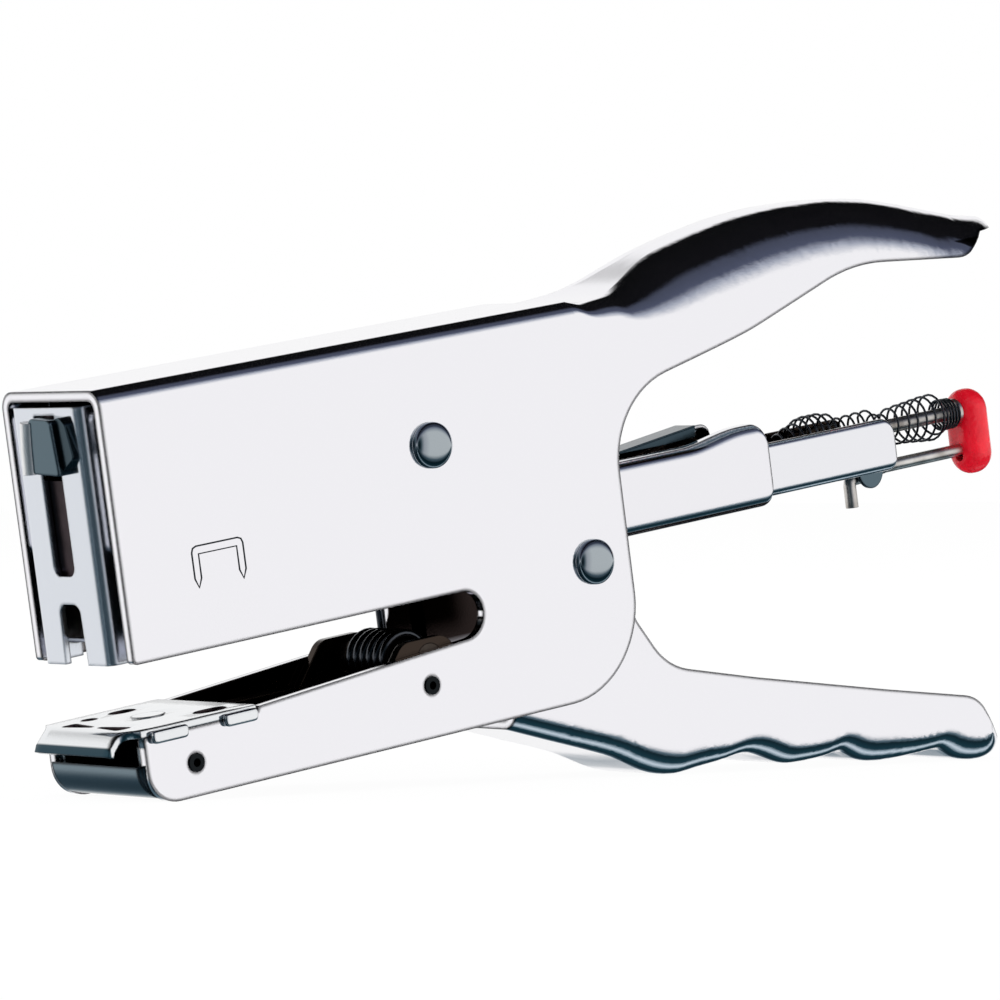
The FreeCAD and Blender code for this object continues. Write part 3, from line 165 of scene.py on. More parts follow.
def chrome(name, shade, rough, edge=SHEET_EDGE, wave=0.02, line=0.75 * MM, painted_edge_reflection="#0f1114", inside=None):
    """Chrome plate: a sheet's edge gets a painted dark line, a painted reflection of its round, and inside is
    (limits, colour) for a stretch painted in shade, each limit (axis, low, high) fading in from low to high."""
    made, tree, shader, place = finish_of(name)
    near_edge = add(tree, "ShaderNodeBevel", {"samples": 6}, Radius=line)
    facing = add(tree, "ShaderNodeNewGeometry").outputs["Normal"]
    level = add(tree, "ShaderNodeVectorMath", {"operation": "DOT_PRODUCT"},
                i0=near_edge.outputs["Normal"], i1=facing)
    # a dark line is painted along each sheet edge: a painted reflection of the edge's round
    tone = ramp(tree, level.outputs["Value"], [(0.955, colour(painted_edge_reflection)), (0.988, colour(shade))])
    if inside:
        # a stretch painted in shade: its colour is darkened where shade falls
        limits, painted_shade_tone = inside
        share = 1.0
        for axis, low, high in limits:
            within = reading(tree, place, axis, low, high)
            share = add(tree, "ShaderNodeMath", {"operation": "MULTIPLY"}, i0=share, i1=within).outputs[0]
        mixed = add(tree, "ShaderNodeMix", {"data_type": "RGBA"}, Factor=share, i6=tone, i7=colour(painted_shade_tone))
        tone = mixed.outputs[2]
    tree.links.new(tone, shader.inputs["Base Color"])
    haze = add(tree, "ShaderNodeTexNoise", Vector=place, Scale=1 / (9 * MM), Detail=3.0)
    polish = add(tree, "ShaderNodeMapRange", Value=haze.outputs["Fac"], i3=rough * 0.75, i4=rough * 1.35)
    press = add(tree, "ShaderNodeTexNoise", Vector=place, Scale=1 / (26 * MM), Detail=1.0)
    grit = add(tree, "ShaderNodeTexNoise", Vector=place, Scale=1 / (0.22 * MM), Detail=1.0)
    round_edge = add(tree, "ShaderNodeBevel", {"samples": 6}, Radius=edge)
    bump = add(tree, "ShaderNodeBump", Height=press.outputs["Fac"], Distance=wave * MM, Strength=0.6,
               Normal=round_edge.outputs["Normal"])
    fine = add(tree, "ShaderNodeBump", Height=grit.outputs["Fac"], Distance=0.012 * MM, Strength=0.5,
               Normal=bump.outputs["Normal"])
    shader.inputs["Metallic"].default_value = 1.0
    tree.links.new(polish.outputs[0], shader.inputs["Roughness"])
    tree.links.new(fine.outputs["Normal"], shader.inputs["Normal"])
    return made


# painted shade: the colour is darkened inside the shell between its cheeks and where the lower handle
# runs in behind the head, and inside the tube, rail and jaw liner; the anvil lip's front is a painted dark
# reflection
BETWEEN = [(ACROSS, -9.0, -8.9), (ACROSS, 9.0, 8.9), (UP, 30.8, 30.6), (ALONG, -66, -64)]
BEHIND_HEAD = [(ALONG, 5, 2), (ALONG, -62, -58), (UP, -11, -8)]
CHROME = chrome("chrome_plate_on_pressed_steel", "#f5f4f8", 0.075, inside=(BETWEEN, "#2a2321"))
HANDLE = chrome("chrome_plate_painted_shade_inside", "#f5f4f8", 0.075, inside=(BEHIND_HEAD, "#2a2321"))
TUBE = chrome("chrome_plate_on_the_magazine", "#f3f2f6", 0.075, line=0.5 * MM,
              inside=([(ACROSS, -6.7, -6.6), (ACROSS, 6.7, 6.6), (UP, 10.7, 10.6)], "#3a302a"))
RAIL = chrome("chrome_plate_on_the_rail", "#f0f0f4", 0.08, line=0.4 * MM,
              inside=([(ACROSS, -5.2, -5.1), (ACROSS, 5.2, 5.1), (UP, 2.7, 2.8)], "#3a302a"))
LINER = chrome("nickel_plate_in_the_jaw", "#75858e", 0.16, inside=([(ALONG, -69.0, -68.0)], "#3b322c"))
ANVIL = chrome("chrome_plate_on_the_anvil", "#eef0f2", 0.10, edge=0.15 * MM, line=0.3 * MM,
               inside=([(ALONG, -73.5, -73.7)], "#2b434e"))
print("chrome ready:", CHROME.name, HANDLE.name, TUBE.name, RAIL.name, LINER.name, ANVIL.name)

# %% [markdown]
# ## Other steels
# The guide is satin nickel, the hammer hooks are hardened and blued, rivets are polished
# gunmetal, springs are black oil-tempered wire, and the rods are bare drawn wire. All are
# metals, so they differ in colour, in roughness and in the direction of their fine marks.

# %% Steels with a grain


def steel(name, shade, rough, grain_mm, along=(1, 1, 1), depth=0.004, spots=None, edge=0.12 * MM):
    """A steel with fine marks: grain_mm is their width, along stretches them, spots is a second tone."""
    made, tree, shader, place = finish_of(name)
    stretched = add(tree, "ShaderNodeMapping", Vector=place, Scale=along)
    marks = add(tree, "ShaderNodeTexNoise", Vector=stretched.outputs[0], Scale=1 / (grain_mm * MM),
                Detail=4.0, Roughness=0.6)
    spread = add(tree, "ShaderNodeMapRange", Value=marks.outputs["Fac"], i3=rough * 0.7, i4=rough * 1.4)
    round_edge = add(tree, "ShaderNodeBevel", {"samples": 4}, Radius=edge)
    bump = add(tree, "ShaderNodeBump", Height=marks.outputs["Fac"], Distance=depth * MM, Strength=0.5,
               Normal=round_edge.outputs["Normal"])
    tree.links.new(spread.outputs[0], shader.inputs["Roughness"])
    tree.links.new(bump.outputs["Normal"], shader.inputs["Normal"])
    shader.inputs["Metallic"].default_value = 1.0
    if spots:
        cloud = add(tree, "ShaderNodeTexNoise", Vector=place, Scale=1 / (3.5 * MM), Detail=5.0)
        tree.links.new(ramp(tree, cloud.outputs["Fac"], [(0.35, colour(shade)), (0.68, colour(spots))]),
                       shader.inputs["Base Color"])
    else:
        shader.inputs["Base Color"].default_value = colour(shade)
    return made


SATIN = steel("satin_nickel_guide", "#dfe3ea", 0.15, 0.25, along=(1, 1, 0.08), depth=0.004, edge=0.5 * MM)
OILED = steel("oiled_cold_rolled_steel", "#5d5650", 0.34, 0.4, depth=0.006, spots="#3a322c")
BLUED = steel("hardened_blued_steel", "#3b4a52", 0.2, 0.3, depth=0.005)
GUNMETAL = steel("black_nickel_rivets", "#1d2022", 0.12, 0.5, depth=0.003)
SPRING = steel("oil_tempered_spring_wire", "#484b50", 0.18, 0.3, depth=0.003)
DRAWN = steel("drawn_steel_wire", "#e6e3df", 0.3, 0.3, along=(0.3, 1, 1), depth=0.01, spots="#a8a19a")
STAPLES = steel("galvanised_staple_wire", "#b9bcbd", 0.3, 0.3, depth=0.006)
BLADE = steel("oiled_driver_blade", "#41363a", 0.3, 0.4, along=(1, 1, 0.1), depth=0.005, spots="#2e2628")
GLAZED = steel("oil_blacked_hook", "#5b6c75", 0.14, 0.4, depth=0.003, edge=0.3 * MM)
print("steels ready")

# %% [markdown]
# ## Plastics
# The knob is injection moulded in a glossy red plastic whose mould was lightly eroded, so
# the gloss breaks up into a fine orange peel. The follower is black acetal, waxy and plain.

# %% Plastics


def plastic(name, shade, rough, grain_mm, depth, deep=None):
    """A moulded plastic: grain_mm and depth are those of its skin, deep is its darker tone."""
    made, tree, shader, place = finish_of(name)
    peel = add(tree, "ShaderNodeTexNoise", Vector=place, Scale=1 / (grain_mm * MM), Detail=3.0)
    bump = add(tree, "ShaderNodeBump", Height=peel.outputs["Fac"], Distance=depth * MM, Strength=0.8)
    spread = add(tree, "ShaderNodeMapRange", Value=peel.outputs["Fac"], i3=rough * 0.7, i4=rough * 1.4)
    tree.links.new(spread.outputs[0], shader.inputs["Roughness"])
    tree.links.new(bump.outputs["Normal"], shader.inputs["Normal"])
    cloud = add(tree, "ShaderNodeTexNoise", Vector=place, Scale=1 / (4 * MM), Detail=2.0)
    tree.links.new(ramp(tree, cloud.outputs["Fac"], [(0.3, colour(deep or shade)), (0.7, colour(shade))]),
                   shader.inputs["Base Color"])
    shader.inputs["IOR"].default_value = 1.49
    return made


RED = plastic("red_moulded_knob", "#e2162a", 0.14, 0.55, 0.13, deep="#bb0a1d")
ACETAL = plastic("black_acetal", "#1b1b1c", 0.45, 0.5, 0.01)
print("plastics ready:", RED.name, ACETAL.name)

# %% [markdown]
# ## Giving each part its finish
# A part from the model keeps its mesh. Only the material in its slots is set.

# %% Finishes of the model's parts
FINISH = {
    CHROME: ("frame_shell",),
    HANDLE: ("lower_handle",),
    TUBE: ("magazine_tube",),
    RAIL: ("staple_rail",),
    ANVIL: ("anvil_plate", "anvil_stud"),
    LINER: ("jaw_channel",),
    SATIN: ("front_guide",),
    BLADE: ("driver_blade",),
    OILED: ("hammer_bridge", "lever_rivets", "stop_sleeve", "spring_pin", "latch_bracket",
            "latch_pin", "magazine_hanger", "rail_nose"),
    BLUED: ("hammer_hook_near", "hammer_hook_far", "latch_lever"),
    GUNMETAL: ("pivot_rivet", "stop_rivet", "jaw_rivets"),
    SPRING: ("return_spring", "lift_springs", "pusher_spring", "latch_spring"),
    DRAWN: ("guide_rod", "lock_rod"),
    STAPLES: ("staple_strip",),
    RED: ("pull_knob",),
    ACETAL: ("follower",),
}
for material, labels in FINISH.items():
    for label in labels:
        mesh = nodes[label].data
        if not mesh.materials:
            mesh.materials.append(material)
        for i in range(len(mesh.materials)):
            mesh.materials[i] = material
print("dressed", sum(len(v) for v in FINISH.values()), "of", len(nodes))

# %% [markdown]
# ## Wire that follows a path
# A spring is one wire swept along a line, so the line is worked out first, as points, and a small
# Geometry Nodes tree sweeps a round section along it. The same tree serves every wire here:
# only its inputs change, which are the wire's radius, its number of sides and its finish.

# %% A tree that sweeps a wire


def wire_tree():
    """The tree: a path of edges in, a closed round wire in its finish out."""
    tree = bpy.data.node_groups.new("swept_wire", "GeometryNodeTree")
    tree.interface.new_socket("Path", in_out="INPUT", socket_type="NodeSocketGeometry")
    tree.interface.new_socket("Wire Radius", in_out="INPUT", socket_type="NodeSocketFloat")
    tree.interface.new_socket("Sides", in_out="INPUT", socket_type="NodeSocketInt")
    tree.interface.new_socket("Finish", in_out="INPUT", socket_type="NodeSocketMaterial")
    tree.interface.new_socket("Wire", in_out="OUTPUT", socket_type="NodeSocketGeometry")
    given = add(tree, "NodeGroupInput")
    line = add(tree, "GeometryNodeMeshToCurve", Mesh=given.outputs["Path"])
    ring = add(tree, "GeometryNodeCurvePrimitiveCircle", Resolution=given.outputs["Sides"],
               Radius=given.outputs["Wire Radius"])
    swept = add(tree, "GeometryNodeCurveToMesh", Curve=line.outputs[0], i1=ring.outputs[0])
    swept.inputs["Fill Caps"].default_value = True
    soft = add(tree, "GeometryNodeSetShadeSmooth", Geometry=swept.outputs[0])
    real = add(tree, "GeometryNodeRealizeInstances", Geometry=soft.outputs[0])
    dressed = add(tree, "GeometryNodeSetMaterial", Geometry=real.outputs[0], Material=given.outputs["Finish"])
    add(tree, "NodeGroupOutput", Wire=dressed.outputs[0])
    return tree


WIRE_TREE = wire_tree()


def settle(thing):
    """Replace an object's modifiers by the plain mesh they give."""
    shape = bpy.data.meshes.new_from_object(thing.evaluated_get(bpy.context.evaluated_depsgraph_get()))
    thing.modifiers.clear()
    thing.data = shape
    shape.name = thing.name
    return thing


def placed(name, data):
    """A new object at the origin, in the scene."""
    made = bpy.data.objects.new(name, data)
    bpy.context.scene.collection.objects.link(made)
    return made


def piece(name, mesh, body):
    """A new object that rides a body of the model."""
    made = placed(name, mesh)
    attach(made, body)
    return made


def wire_along(name, points, wire_mm, finish, body, sides=10):
    """Sweep a wire along points, or along several lists of points, all in millimetres in the tool's frame."""
    paths = points if isinstance(points[0], list) else [points]
    spots, edges = [], []
    for path in paths:
        edges += [(len(spots) + i, len(spots) + i + 1) for i in range(len(path) - 1)]
        spots += [at(*p) for p in path]
    mesh = bpy.data.meshes.new(name)
    mesh.from_pydata(spots, edges, [])
    made = placed(name, mesh)
    modifier = made.modifiers.new("wire", "NODES")
    modifier.node_group = WIRE_TREE
    inputs = [item for item in WIRE_TREE.interface.items_tree if item.in_out == "INPUT"]
    sockets = {item.name: item.identifier for item in inputs}
    modifier[sockets["Wire Radius"]] = wire_mm / 2 * MM
    modifier[sockets["Sides"]] = sides
    modifier[sockets["Finish"]] = finish
    settle(made)
    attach(made, body)
    print(name, "triangles about", 2 * len(made.data.polygons))
    return made


# %% [markdown]
# ## Pusher spring
# The spring that feeds the staples is a soft barrel spring: its coils bunch up, open and bunch
# again along the rod. Runs of coils are given as (start, end, turns, radius before, radius
# after, lift before, lift after), and each run turns on from the one before it. The lift is
# how far slack coils ride up off the rod.

# %% The wavy pusher spring
ROD_UP, PUSHER_WIRE, TURN_STEPS = 7.35, 0.32, 22
RUNS = ((-9.4, 41.5, 17.0, 2.2, 2.0, 0.0, 0.0), (41.5, 43.8, 1.5, 2.0, 2.3, 0.0, 0.5),
        (43.8, 46.0, 2.2, 2.3, 2.7, 0.5, 0.9), (46.0, 49.3, 3.0, 2.7, 2.7, 0.9, 0.9),
        (49.3, 51.5, 1.0, 2.7, 1.9, 0.9, 0.5), (51.5, 57.5, 3.5, 2.0, 2.2, 0.5, 0.5),
        (57.5, 60.0, 2.0, 1.9, 1.75, 0.2, 0.0), (60.0, 62.0, 1.2, 1.75, 2.5, 0.0, 0.0),
        (62.0, 68.8, 4.6, 2.5, 3.0, 0.0, 0.0), (68.8, 70.2, 0.9, 3.0, 2.0, 0.0, 0.0),
        (70.2, 72.4, 4.0, 2.0, 1.95, 0.0, 0.0))


def eased(share):
    """A share from 0 to 1 that starts and stops gently."""
    return share * share * (3 - 2 * share)


points, turned = [], 0.0
for start, end, turns, before, after, low, high in RUNS:
    steps = int(turns * TURN_STEPS)
    for i in range(steps):
        share = i / steps
        radius = before + (after - before) * eased(share)
        up = ROD_UP + low + (high - low) * eased(share)
        angle = 2 * math.pi * (turned + share * turns)
        x = start + (end - start) * share
        points.append((x, radius * math.sin(angle), up + radius * math.cos(angle)))
    turned += turns
pusher = wire_along("wavy_pusher_spring", points, PUSHER_WIRE, SPRING, "rail", sides=8)
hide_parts("pusher_spring")
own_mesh(pusher)

# %% [markdown]
# ## Springs inside
# The return spring is a torsion spring on a pin in the jaw: one leg rests on the liner, the
# other lifts the magazine. Two lift springs stand on the magazine under the lever's bridge.
# Both kinds are plain coils, so one function winds them.

# %% Return and lift springs


def coil(a, b, radius, start, long, turns, steps):
    """A coil about an axis through a, b, as points (a, b, along), with steps points in each turn."""
    angles = [2 * math.pi * k / steps for k in range(turns * steps + 1)]
    return [(a + radius * math.cos(angle), b + radius * math.sin(angle), start + long * k / (turns * steps))
            for k, angle in enumerate(angles)]


COIL_X, COIL_Z, COIL_R, COIL_WIDE, COIL_WIRE = -26.3, -7.4, 3.0, 7.92, 1.15
LEG_X, LEG_Y = COIL_X + COIL_R, COIL_WIDE / 2
wind = [(x, y, z) for x, z, y in coil(COIL_X, COIL_Z, COIL_R, -LEG_Y, COIL_WIDE, turns=6, steps=26)]
low_leg = [(LEG_X, -LEG_Y, -15.0), (LEG_X, -LEG_Y, -11.0)]
high_leg = [(LEG_X, LEG_Y, -3.0), (LEG_X, LEG_Y, 1.2)]
back_spring = wire_along("torsion_spring", low_leg + wind + high_leg, COIL_WIRE, SPRING, "frame", sides=12)
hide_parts("return_spring")
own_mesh(back_spring)
LIFT_X, LIFT_Y, LIFT_R, LIFT_FOOT, LIFT_TALL, LIFT_WIRE = -53.75, 3.6, 1.3, 11.35, 16.65, 0.6
stacks = [coil(LIFT_X, side * LIFT_Y, LIFT_R, LIFT_FOOT, LIFT_TALL, turns=6, steps=20) for side in (-1, 1)]
lifts = wire_along("coiled_lift_springs", stacks, LIFT_WIRE, SPRING, "magazine", sides=8)
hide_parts("lift_springs")
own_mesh(lifts)

# %% The lower rod
# its front end is hooked down, and behind the rail it is cranked up a little to the knob
ROD_WIRE = 1.7
crank = [(52.95, -2.15), (52.95, 0.6), (53.05, 1.1), (53.4, 1.4), (54.0, 1.5), (56.9, 1.5),
         (57.6, 1.75), (58.4, 2.1), (59.4, 2.25), (75.4, 2.25)]
rod = wire_along("cranked_rod", [(x, 0.0, z) for x, z in crank], ROD_WIRE, DRAWN, "rail", sides=20)
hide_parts("lock_rod")

# %% [markdown]
# ## Pressed plates
# The plates that the eye rests on are drawn again with their small roundings. Each starts as
# an outline, its corners are rounded, it is given its thickness, and a bevel softens what the
# press would soften. Turned parts are a profile that is spun round its axis.

# %% Outlines and meshes


def softened(corners, steps=5, most=0.45):
    """Round the corners of an outline given as (a, b, radius).

    most is the largest share of a side that one round may take."""
    spots = [Vector(corner[:2]) for corner in corners]
    out = []
    for i, corner in enumerate(corners):
        here, before, after = spots[i], spots[i - 1], spots[(i + 1) % len(spots)]
        radius = corner[2]
        a, b = (before - here).normalized(), (after - here).normalized()
        half = a.angle(b) / 2
        reach = min(radius / math.tan(half), most * (before - here).length, most * (after - here).length)
        for k in range(steps + 1):
            share = k / steps
            out.append(here + a * reach * (1 - share) ** 2 + b * reach * share ** 2)
    return [(p.x, p.y) for p in out]


def meshed(name, form, finish):
    """Turn a form into a mesh whose faces point outwards, in its finish."""
    bmesh.ops.recalc_face_normals(form, faces=form.faces)
    mesh = bpy.data.meshes.new(name)
    form.to_mesh(mesh)
    form.free()
    mesh.materials.append(finish)
    return mesh


def joined(form, rows, closed):
    """Fill the strips between neighbouring rows of corners; closed rows are rings."""
    for one, two in zip(rows, rows[1:]):
        for i in range(len(one) if closed else len(one) - 1):
            j = (i + 1) % len(one)
            form.faces.new((one[i], one[j], two[j], two[i]))


def smoothed(mesh, crease=None):
    """Shade a mesh smooth, but for edges sharper than the crease, in degrees."""
    for face in mesh.polygons:
        face.use_smooth = True
    if crease:
        mesh.set_sharp_from_angle(angle=math.radians(crease))


def softened_edges(thing, width_mm, segments):
    """Bevel an object's sharp edges for good."""
    soft = thing.modifiers.new("soft", "BEVEL")
    soft.width, soft.segments = width_mm * MM, segments
    soft.limit_method, soft.angle_limit = "ANGLE", math.radians(35)
    settle(thing)


# %% Plates and turned parts


def prisms(name, parts, finish):
    """One object of several prisms, each (plane, outline, low, high): an XZ outline is drawn
    across the width, a YZ outline along the tool, an XY outline square to the anvil."""
    form = bmesh.new()
    for plane, outline, low, high in parts:
        ends = []
        for depth in (low, high):
            spots = [{"XZ": (a, depth, b), "YZ": (depth, a, b), "XY": (a, b, depth)}[plane]
                     for a, b in outline]
            ends.append([form.verts.new(at(*spot)) for spot in spots])
        form.faces.new(ends[0])
        form.faces.new(ends[1][::-1])
        joined(form, ends, closed=True)
    return placed(name, meshed(name, form, finish))


def slabs(name, parts, finish, body, bevel=0.15, segments=3):
    """Plates given as for prisms, with softened edges, on a body of the model."""
    made = prisms(name, parts, finish)
    softened_edges(made, bevel, segments)
    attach(made, body)
    print(name, "faces", len(made.data.polygons))
    return made


def lathed(name, x, z, profile, finish, body, sides=56):
    """Turn a profile of (y, radius) round the width axis through x, z; a radius of 0 is a pole."""
    form = bmesh.new()
    rings = []
    for y, radius in profile:
        turns = [2 * math.pi * k / sides for k in range(sides if radius else 1)]
        spots = [at(x + radius * math.cos(turn), y, z + radius * math.sin(turn)) for turn in turns]
        rings.append([form.verts.new(spot) for spot in spots])
    for one, two in zip(rings, rings[1:]):
        for k in range(sides):
            j = (k + 1) % sides
            corners = [one[k % len(one)], one[j % len(one)], two[j % len(two)], two[k % len(two)]]
            form.faces.new(list(dict.fromkeys(corners)))
    mesh = meshed(name, form, finish)
    smoothed(mesh)
    return piece(name, mesh, body)


# %% [markdown]
# ## Magazine tube and rail
# Both are sheet bent round a long box, so their long edges are true rounds. One section is drawn
# for each station along the tool, and the sections are joined. The tube's top swells in a soft
# step to its rear, the rear corners of both are rounded off, and the rail ends in a small ear.

# %% Sections of a bent box


def drawn_box(name, stations, finish, body, half, sheet, lip, round_top, round_low):
    """Join sections of an open box: stations are (x, top, low), half is half its width, lip is how
    far its top edges turn in, and round_top and round_low are the radii of its long edges."""
    form = bmesh.new()
    inner, tip_round = half - sheet, 0.15
    rings = []
    for x, top, low in stations:
        section = softened([
            (-half + lip, top, tip_round), (-half, top, round_top), (-half, low, round_low),
            (half, low, round_low), (half, top, round_top), (half - lip, top, tip_round),
            (half - lip, top - sheet, tip_round), (inner, top - sheet, round_top - sheet),
            (inner, low + sheet, round_low - sheet), (-inner, low + sheet, round_low - sheet),
            (-inner, top - sheet, round_top - sheet), (-half + lip, top - sheet, tip_round)],
            steps=8, most=0.8)
        rings.append([form.verts.new(at(x, y, z)) for y, z in section])
    joined(form, rings, closed=True)
    form.faces.new(rings[0])
    form.faces.new(rings[-1][::-1])
    mesh = meshed(name, form, finish)
    smoothed(mesh, crease=40)
    return piece(name, mesh, body)


def rounded_off(x, end, radius):
    """How far a corner of this radius has fallen off at x, when the box ends at end."""
    into = max(0.0, x - (end - radius))
    return radius - math.sqrt(max(0.0, radius * radius - into * into))


# %% The tube
TUBE_END, TUBE_TOP, TUBE_LOW = 33.6, 11.0, 1.4
SWELL_X, SWELL_LONG, SWELL = 20.5, 10.0, 1.2
CORNER_STEPS = [0.2 * i for i in range(9)]
tube_stations = []
for x in [-66.0, -20.0, 19.5] + [SWELL_X + i for i in range(12)] + [32.0 + step for step in CORNER_STEPS]:
    swell = SWELL * eased(min(max((x - SWELL_X) / SWELL_LONG, 0.0), 1.0))
    top = TUBE_TOP + swell - rounded_off(x, TUBE_END, 1.5)
    tube_stations.append((x, top, TUBE_LOW + 0.7 * rounded_off(x, TUBE_END, 1.2)))
tube = drawn_box("drawn_tube", tube_stations, TUBE, "magazine", half=7.0, sheet=0.5, lip=2.9,
                 round_top=2.0, round_low=2.0)
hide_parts("magazine_tube")
print("tube of", len(tube_stations), "sections")

# %% The rail and its ear
RAIL_END, RAIL_TOP, RAIL_LOW = 56.8, 9.2, 2.3
rail_stations = [(x, RAIL_TOP - rounded_off(x, RAIL_END, 1.6), RAIL_LOW + 0.5 * rounded_off(x, RAIL_END, 1.0))
                 for x in [-69.4, 0.0, 54.0] + [55.2 + step for step in CORNER_STEPS]]
rail = drawn_box("drawn_rail", rail_stations, RAIL, "rail", half=5.6, sheet=0.6, lip=1.2,
                 round_top=1.0, round_low=1.4)
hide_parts("staple_rail")
EAR_X, EAR_Z, EAR_LONG, EAR_DEEP = 55.6, 2.6, 2.2, 2.6
half_turn = [a * math.pi / 24 for a in range(25)]
ear = [(EAR_X + EAR_LONG * math.cos(a), EAR_Z - EAR_DEEP * math.sin(a)) for a in half_turn]
# the ear takes the darker hook steel: its dark tone is a painted reflection
ears = slabs("rail_ear", [("XZ", ear, -1.6, -1.0)], GLAZED, "rail", bevel=0.1)
print("rail of", len(rail_stations), "sections")

# %% [markdown]
# ## Rivets
# Two big rivets close the tool. Their heads are snapped over a low rim into a smooth dome, and
# polished with the rest. Half a rivet is a short profile, so the other half is its mirror.

# %% Two domed rivets
RIVET = steel("polished_black_nickel", "#a9b1b6", 0.09, 0.5, depth=0.003, edge=0.1 * MM)
CHEEK, SHANK, HEAD, RIM, DOME = 10.0, 1.9, 2.85, 0.55, 1.0
DOME_FOOT = 0.985 * HEAD
arch = [(CHEEK + RIM + DOME * math.sin(math.radians(a)), DOME_FOOT * math.cos(math.radians(a)))
        for a in range(0, 90, 9)]
side = [(CHEEK, SHANK), (CHEEK, HEAD), (CHEEK + 0.1, HEAD)] + arch + [(CHEEK + RIM + DOME, 0.0)]
profile = [(-y, radius) for y, radius in reversed(side)] + side
for name, node, x, z in (("domed_pivot", "pivot_rivet", 0.0, 0.0), ("domed_stop", "stop_rivet", -23.0, 18.3)):
    head = lathed(name, x, z, profile, RIVET, "frame")
    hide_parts(node)
print("rivets turned")

# %% [markdown]
# ## Hammer hooks
# Two hooks reach through the slot of the guide and are folded outwards over its face. The far
# one is wrapped round thick and has a bright white bead along its fold, and the near one is a flat tab
# whose foot slants.

# %% The two hooks
FACE, BACK, STEM = -72.6, -71.0, -47.0
STEM_LOW, STEM_TOP, STEM_IN, STEM_OUT = 22.4, 28.2, 0.1, 1.55
far_face = softened([(-3.9, 22.6, 0.4), (-3.3, 29.2, 0.8), (1.2, 29.5, 0.8), (1.8, 22.9, 0.8)])
near_face = softened([(-3.4, 22.9, 0.2), (-3.0, 29.3, 0.6), (-4.3, 29.5, 0.8), (-5.3, 28.6, 0.8),
                      (-6.2, 24.6, 0.7)])
# a bright white bead is laid along the far hook's fold
FOLD = steel("bright_white_fold", "#ffffff", 0.42, 0.3, depth=0.003)
stem = [(BACK - 0.3, STEM_LOW), (BACK - 0.3, STEM_TOP), (STEM, STEM_TOP), (STEM, STEM_LOW)]
far_parts = [("YZ", far_face, FACE - 0.5, BACK), ("XZ", stem, STEM_IN, STEM_OUT)]
far_hook = slabs("folded_hook_far", far_parts, GLAZED, "lever", bevel=0.38, segments=4)
FOLD_WIDE = 2.0
fold_line = [(FACE - 0.15, 2.2, 22.9), (FACE - 0.15, 2.0, 26.0), (FACE - 0.1, 1.6, 29.0)]
fold = wire_along("hook_fold", fold_line, FOLD_WIDE, FOLD, "lever", sides=24)
near_parts = [("YZ", near_face, FACE + 0.2, BACK), ("XZ", stem, -STEM_OUT, -STEM_IN)]
near_hook = slabs("folded_hook_near", near_parts, BLUED, "lever", bevel=0.22)
for hook, node in ((far_hook, "hammer_hook_far"), (near_hook, "hammer_hook_near")):
    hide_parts(node)

# %% [markdown]
# ## Latch
# The latch is a thin pressed tongue. Its front is humped over its pin, it dips behind that and
# rises again to the thumb, and a narrow flange is folded down along each side of its rear half.

# %% The latch tongue
tongue = softened([(2.6, 12.9, 0.6), (3.6, 14.6, 0.9), (6.4, 12.9, 1.5), (12.0, 11.6, 9.0),
                   (26.1, 13.05, 0.15), (26.1, 12.7, 0.15), (12.0, 11.25, 9.0), (6.0, 12.2, 1.5)])
flange = [(12.0, 11.4), (26.0, 12.85), (25.8, 11.5), (20.5, 11.3)]
latch_parts = [("XZ", tongue, -1.9, 1.9), ("XZ", flange, -2.0, -1.5), ("XZ", flange, 1.5, 2.0)]
latch = slabs("pressed_latch", latch_parts, BLUED, "latch", bevel=0.08, segments=2)
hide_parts("latch_lever")

# %% [markdown]
# ## Anvil
# The clinching plate is one sheet, bent down in front into a lip. It is drawn as rows of points
# across its width, and then given its thickness.

# %% The clinching plate
TOP, SHEET = -7.7, 0.9
BEND_X, BEND_R = -71.0, 2.5
flat_part = [(x, TOP) for x in (-53.9, -58.0, -63.0, -67.0, -70.6)]
bend = [(BEND_X - BEND_R * math.sin(math.radians(a)), TOP - BEND_R * (1 - math.cos(math.radians(a))))
        for a in (5, 15, 25, 35, 45)]
lip_end = [(-73.75, TOP - 1.71), (-74.1, TOP - 2.5)]
HALF_WIDTHS = ((-80.0, 7.6), (-72.6, 7.6), (-71.8, 8.0), (-71.0, 9.2), (-70.4, 10.0), (-50.0, 10.0))


def half_at(x):
    """Half the plate's width: full over the cheeks, waisted at the bend, and a narrower lip."""
    for a, b in zip(HALF_WIDTHS, HALF_WIDTHS[1:]):
        if x <= b[0]:
            return a[1] + (b[1] - a[1]) * (x - a[0]) / (b[0] - a[0])
    return HALF_WIDTHS[-1][1]


across = [-1 + i / 6 for i in range(13)]
form = bmesh.new()
rows = [[form.verts.new(at(x, share * half_at(x), z)) for share in across]
        for x, z in flat_part + bend + lip_end]
joined(form, rows, closed=False)
lip_mesh = meshed("clinch_plate", form, ANVIL)
# an open sheet has no outside, so it is turned here to face up
if lip_mesh.polygons[0].normal.z < 0:
    lip_mesh.flip_normals()
plate = placed("clinch_plate", lip_mesh)
thick = plate.modifiers.new("thick", "SOLIDIFY")
thick.thickness, thick.offset = SHEET * MM, -1.0
settle(plate)
print("plate of", len(rows), "rows")

# %% [markdown]
# ## Cuts, tabs and stud
# Two grooves in a bow turn the staple's legs, a shallow dimple lies behind them, and the plate
# has a hole for its stud and two more at its rear. Each is a prism that a Boolean takes out, and
# the walls keep the prism's oiled finish. Tabs fold over the cheeks, and the stud is nearly flush.

# %% Cuts in the plate


def circle(x, y, radius, steps=28, tall=1.0):
    """A round outline, or an oval one whose length along the tool is tall times its width."""
    angles = [2 * math.pi * k / steps for k in range(steps)]
    return [(x + radius * tall * math.cos(angle), y + radius * math.sin(angle)) for angle in angles]


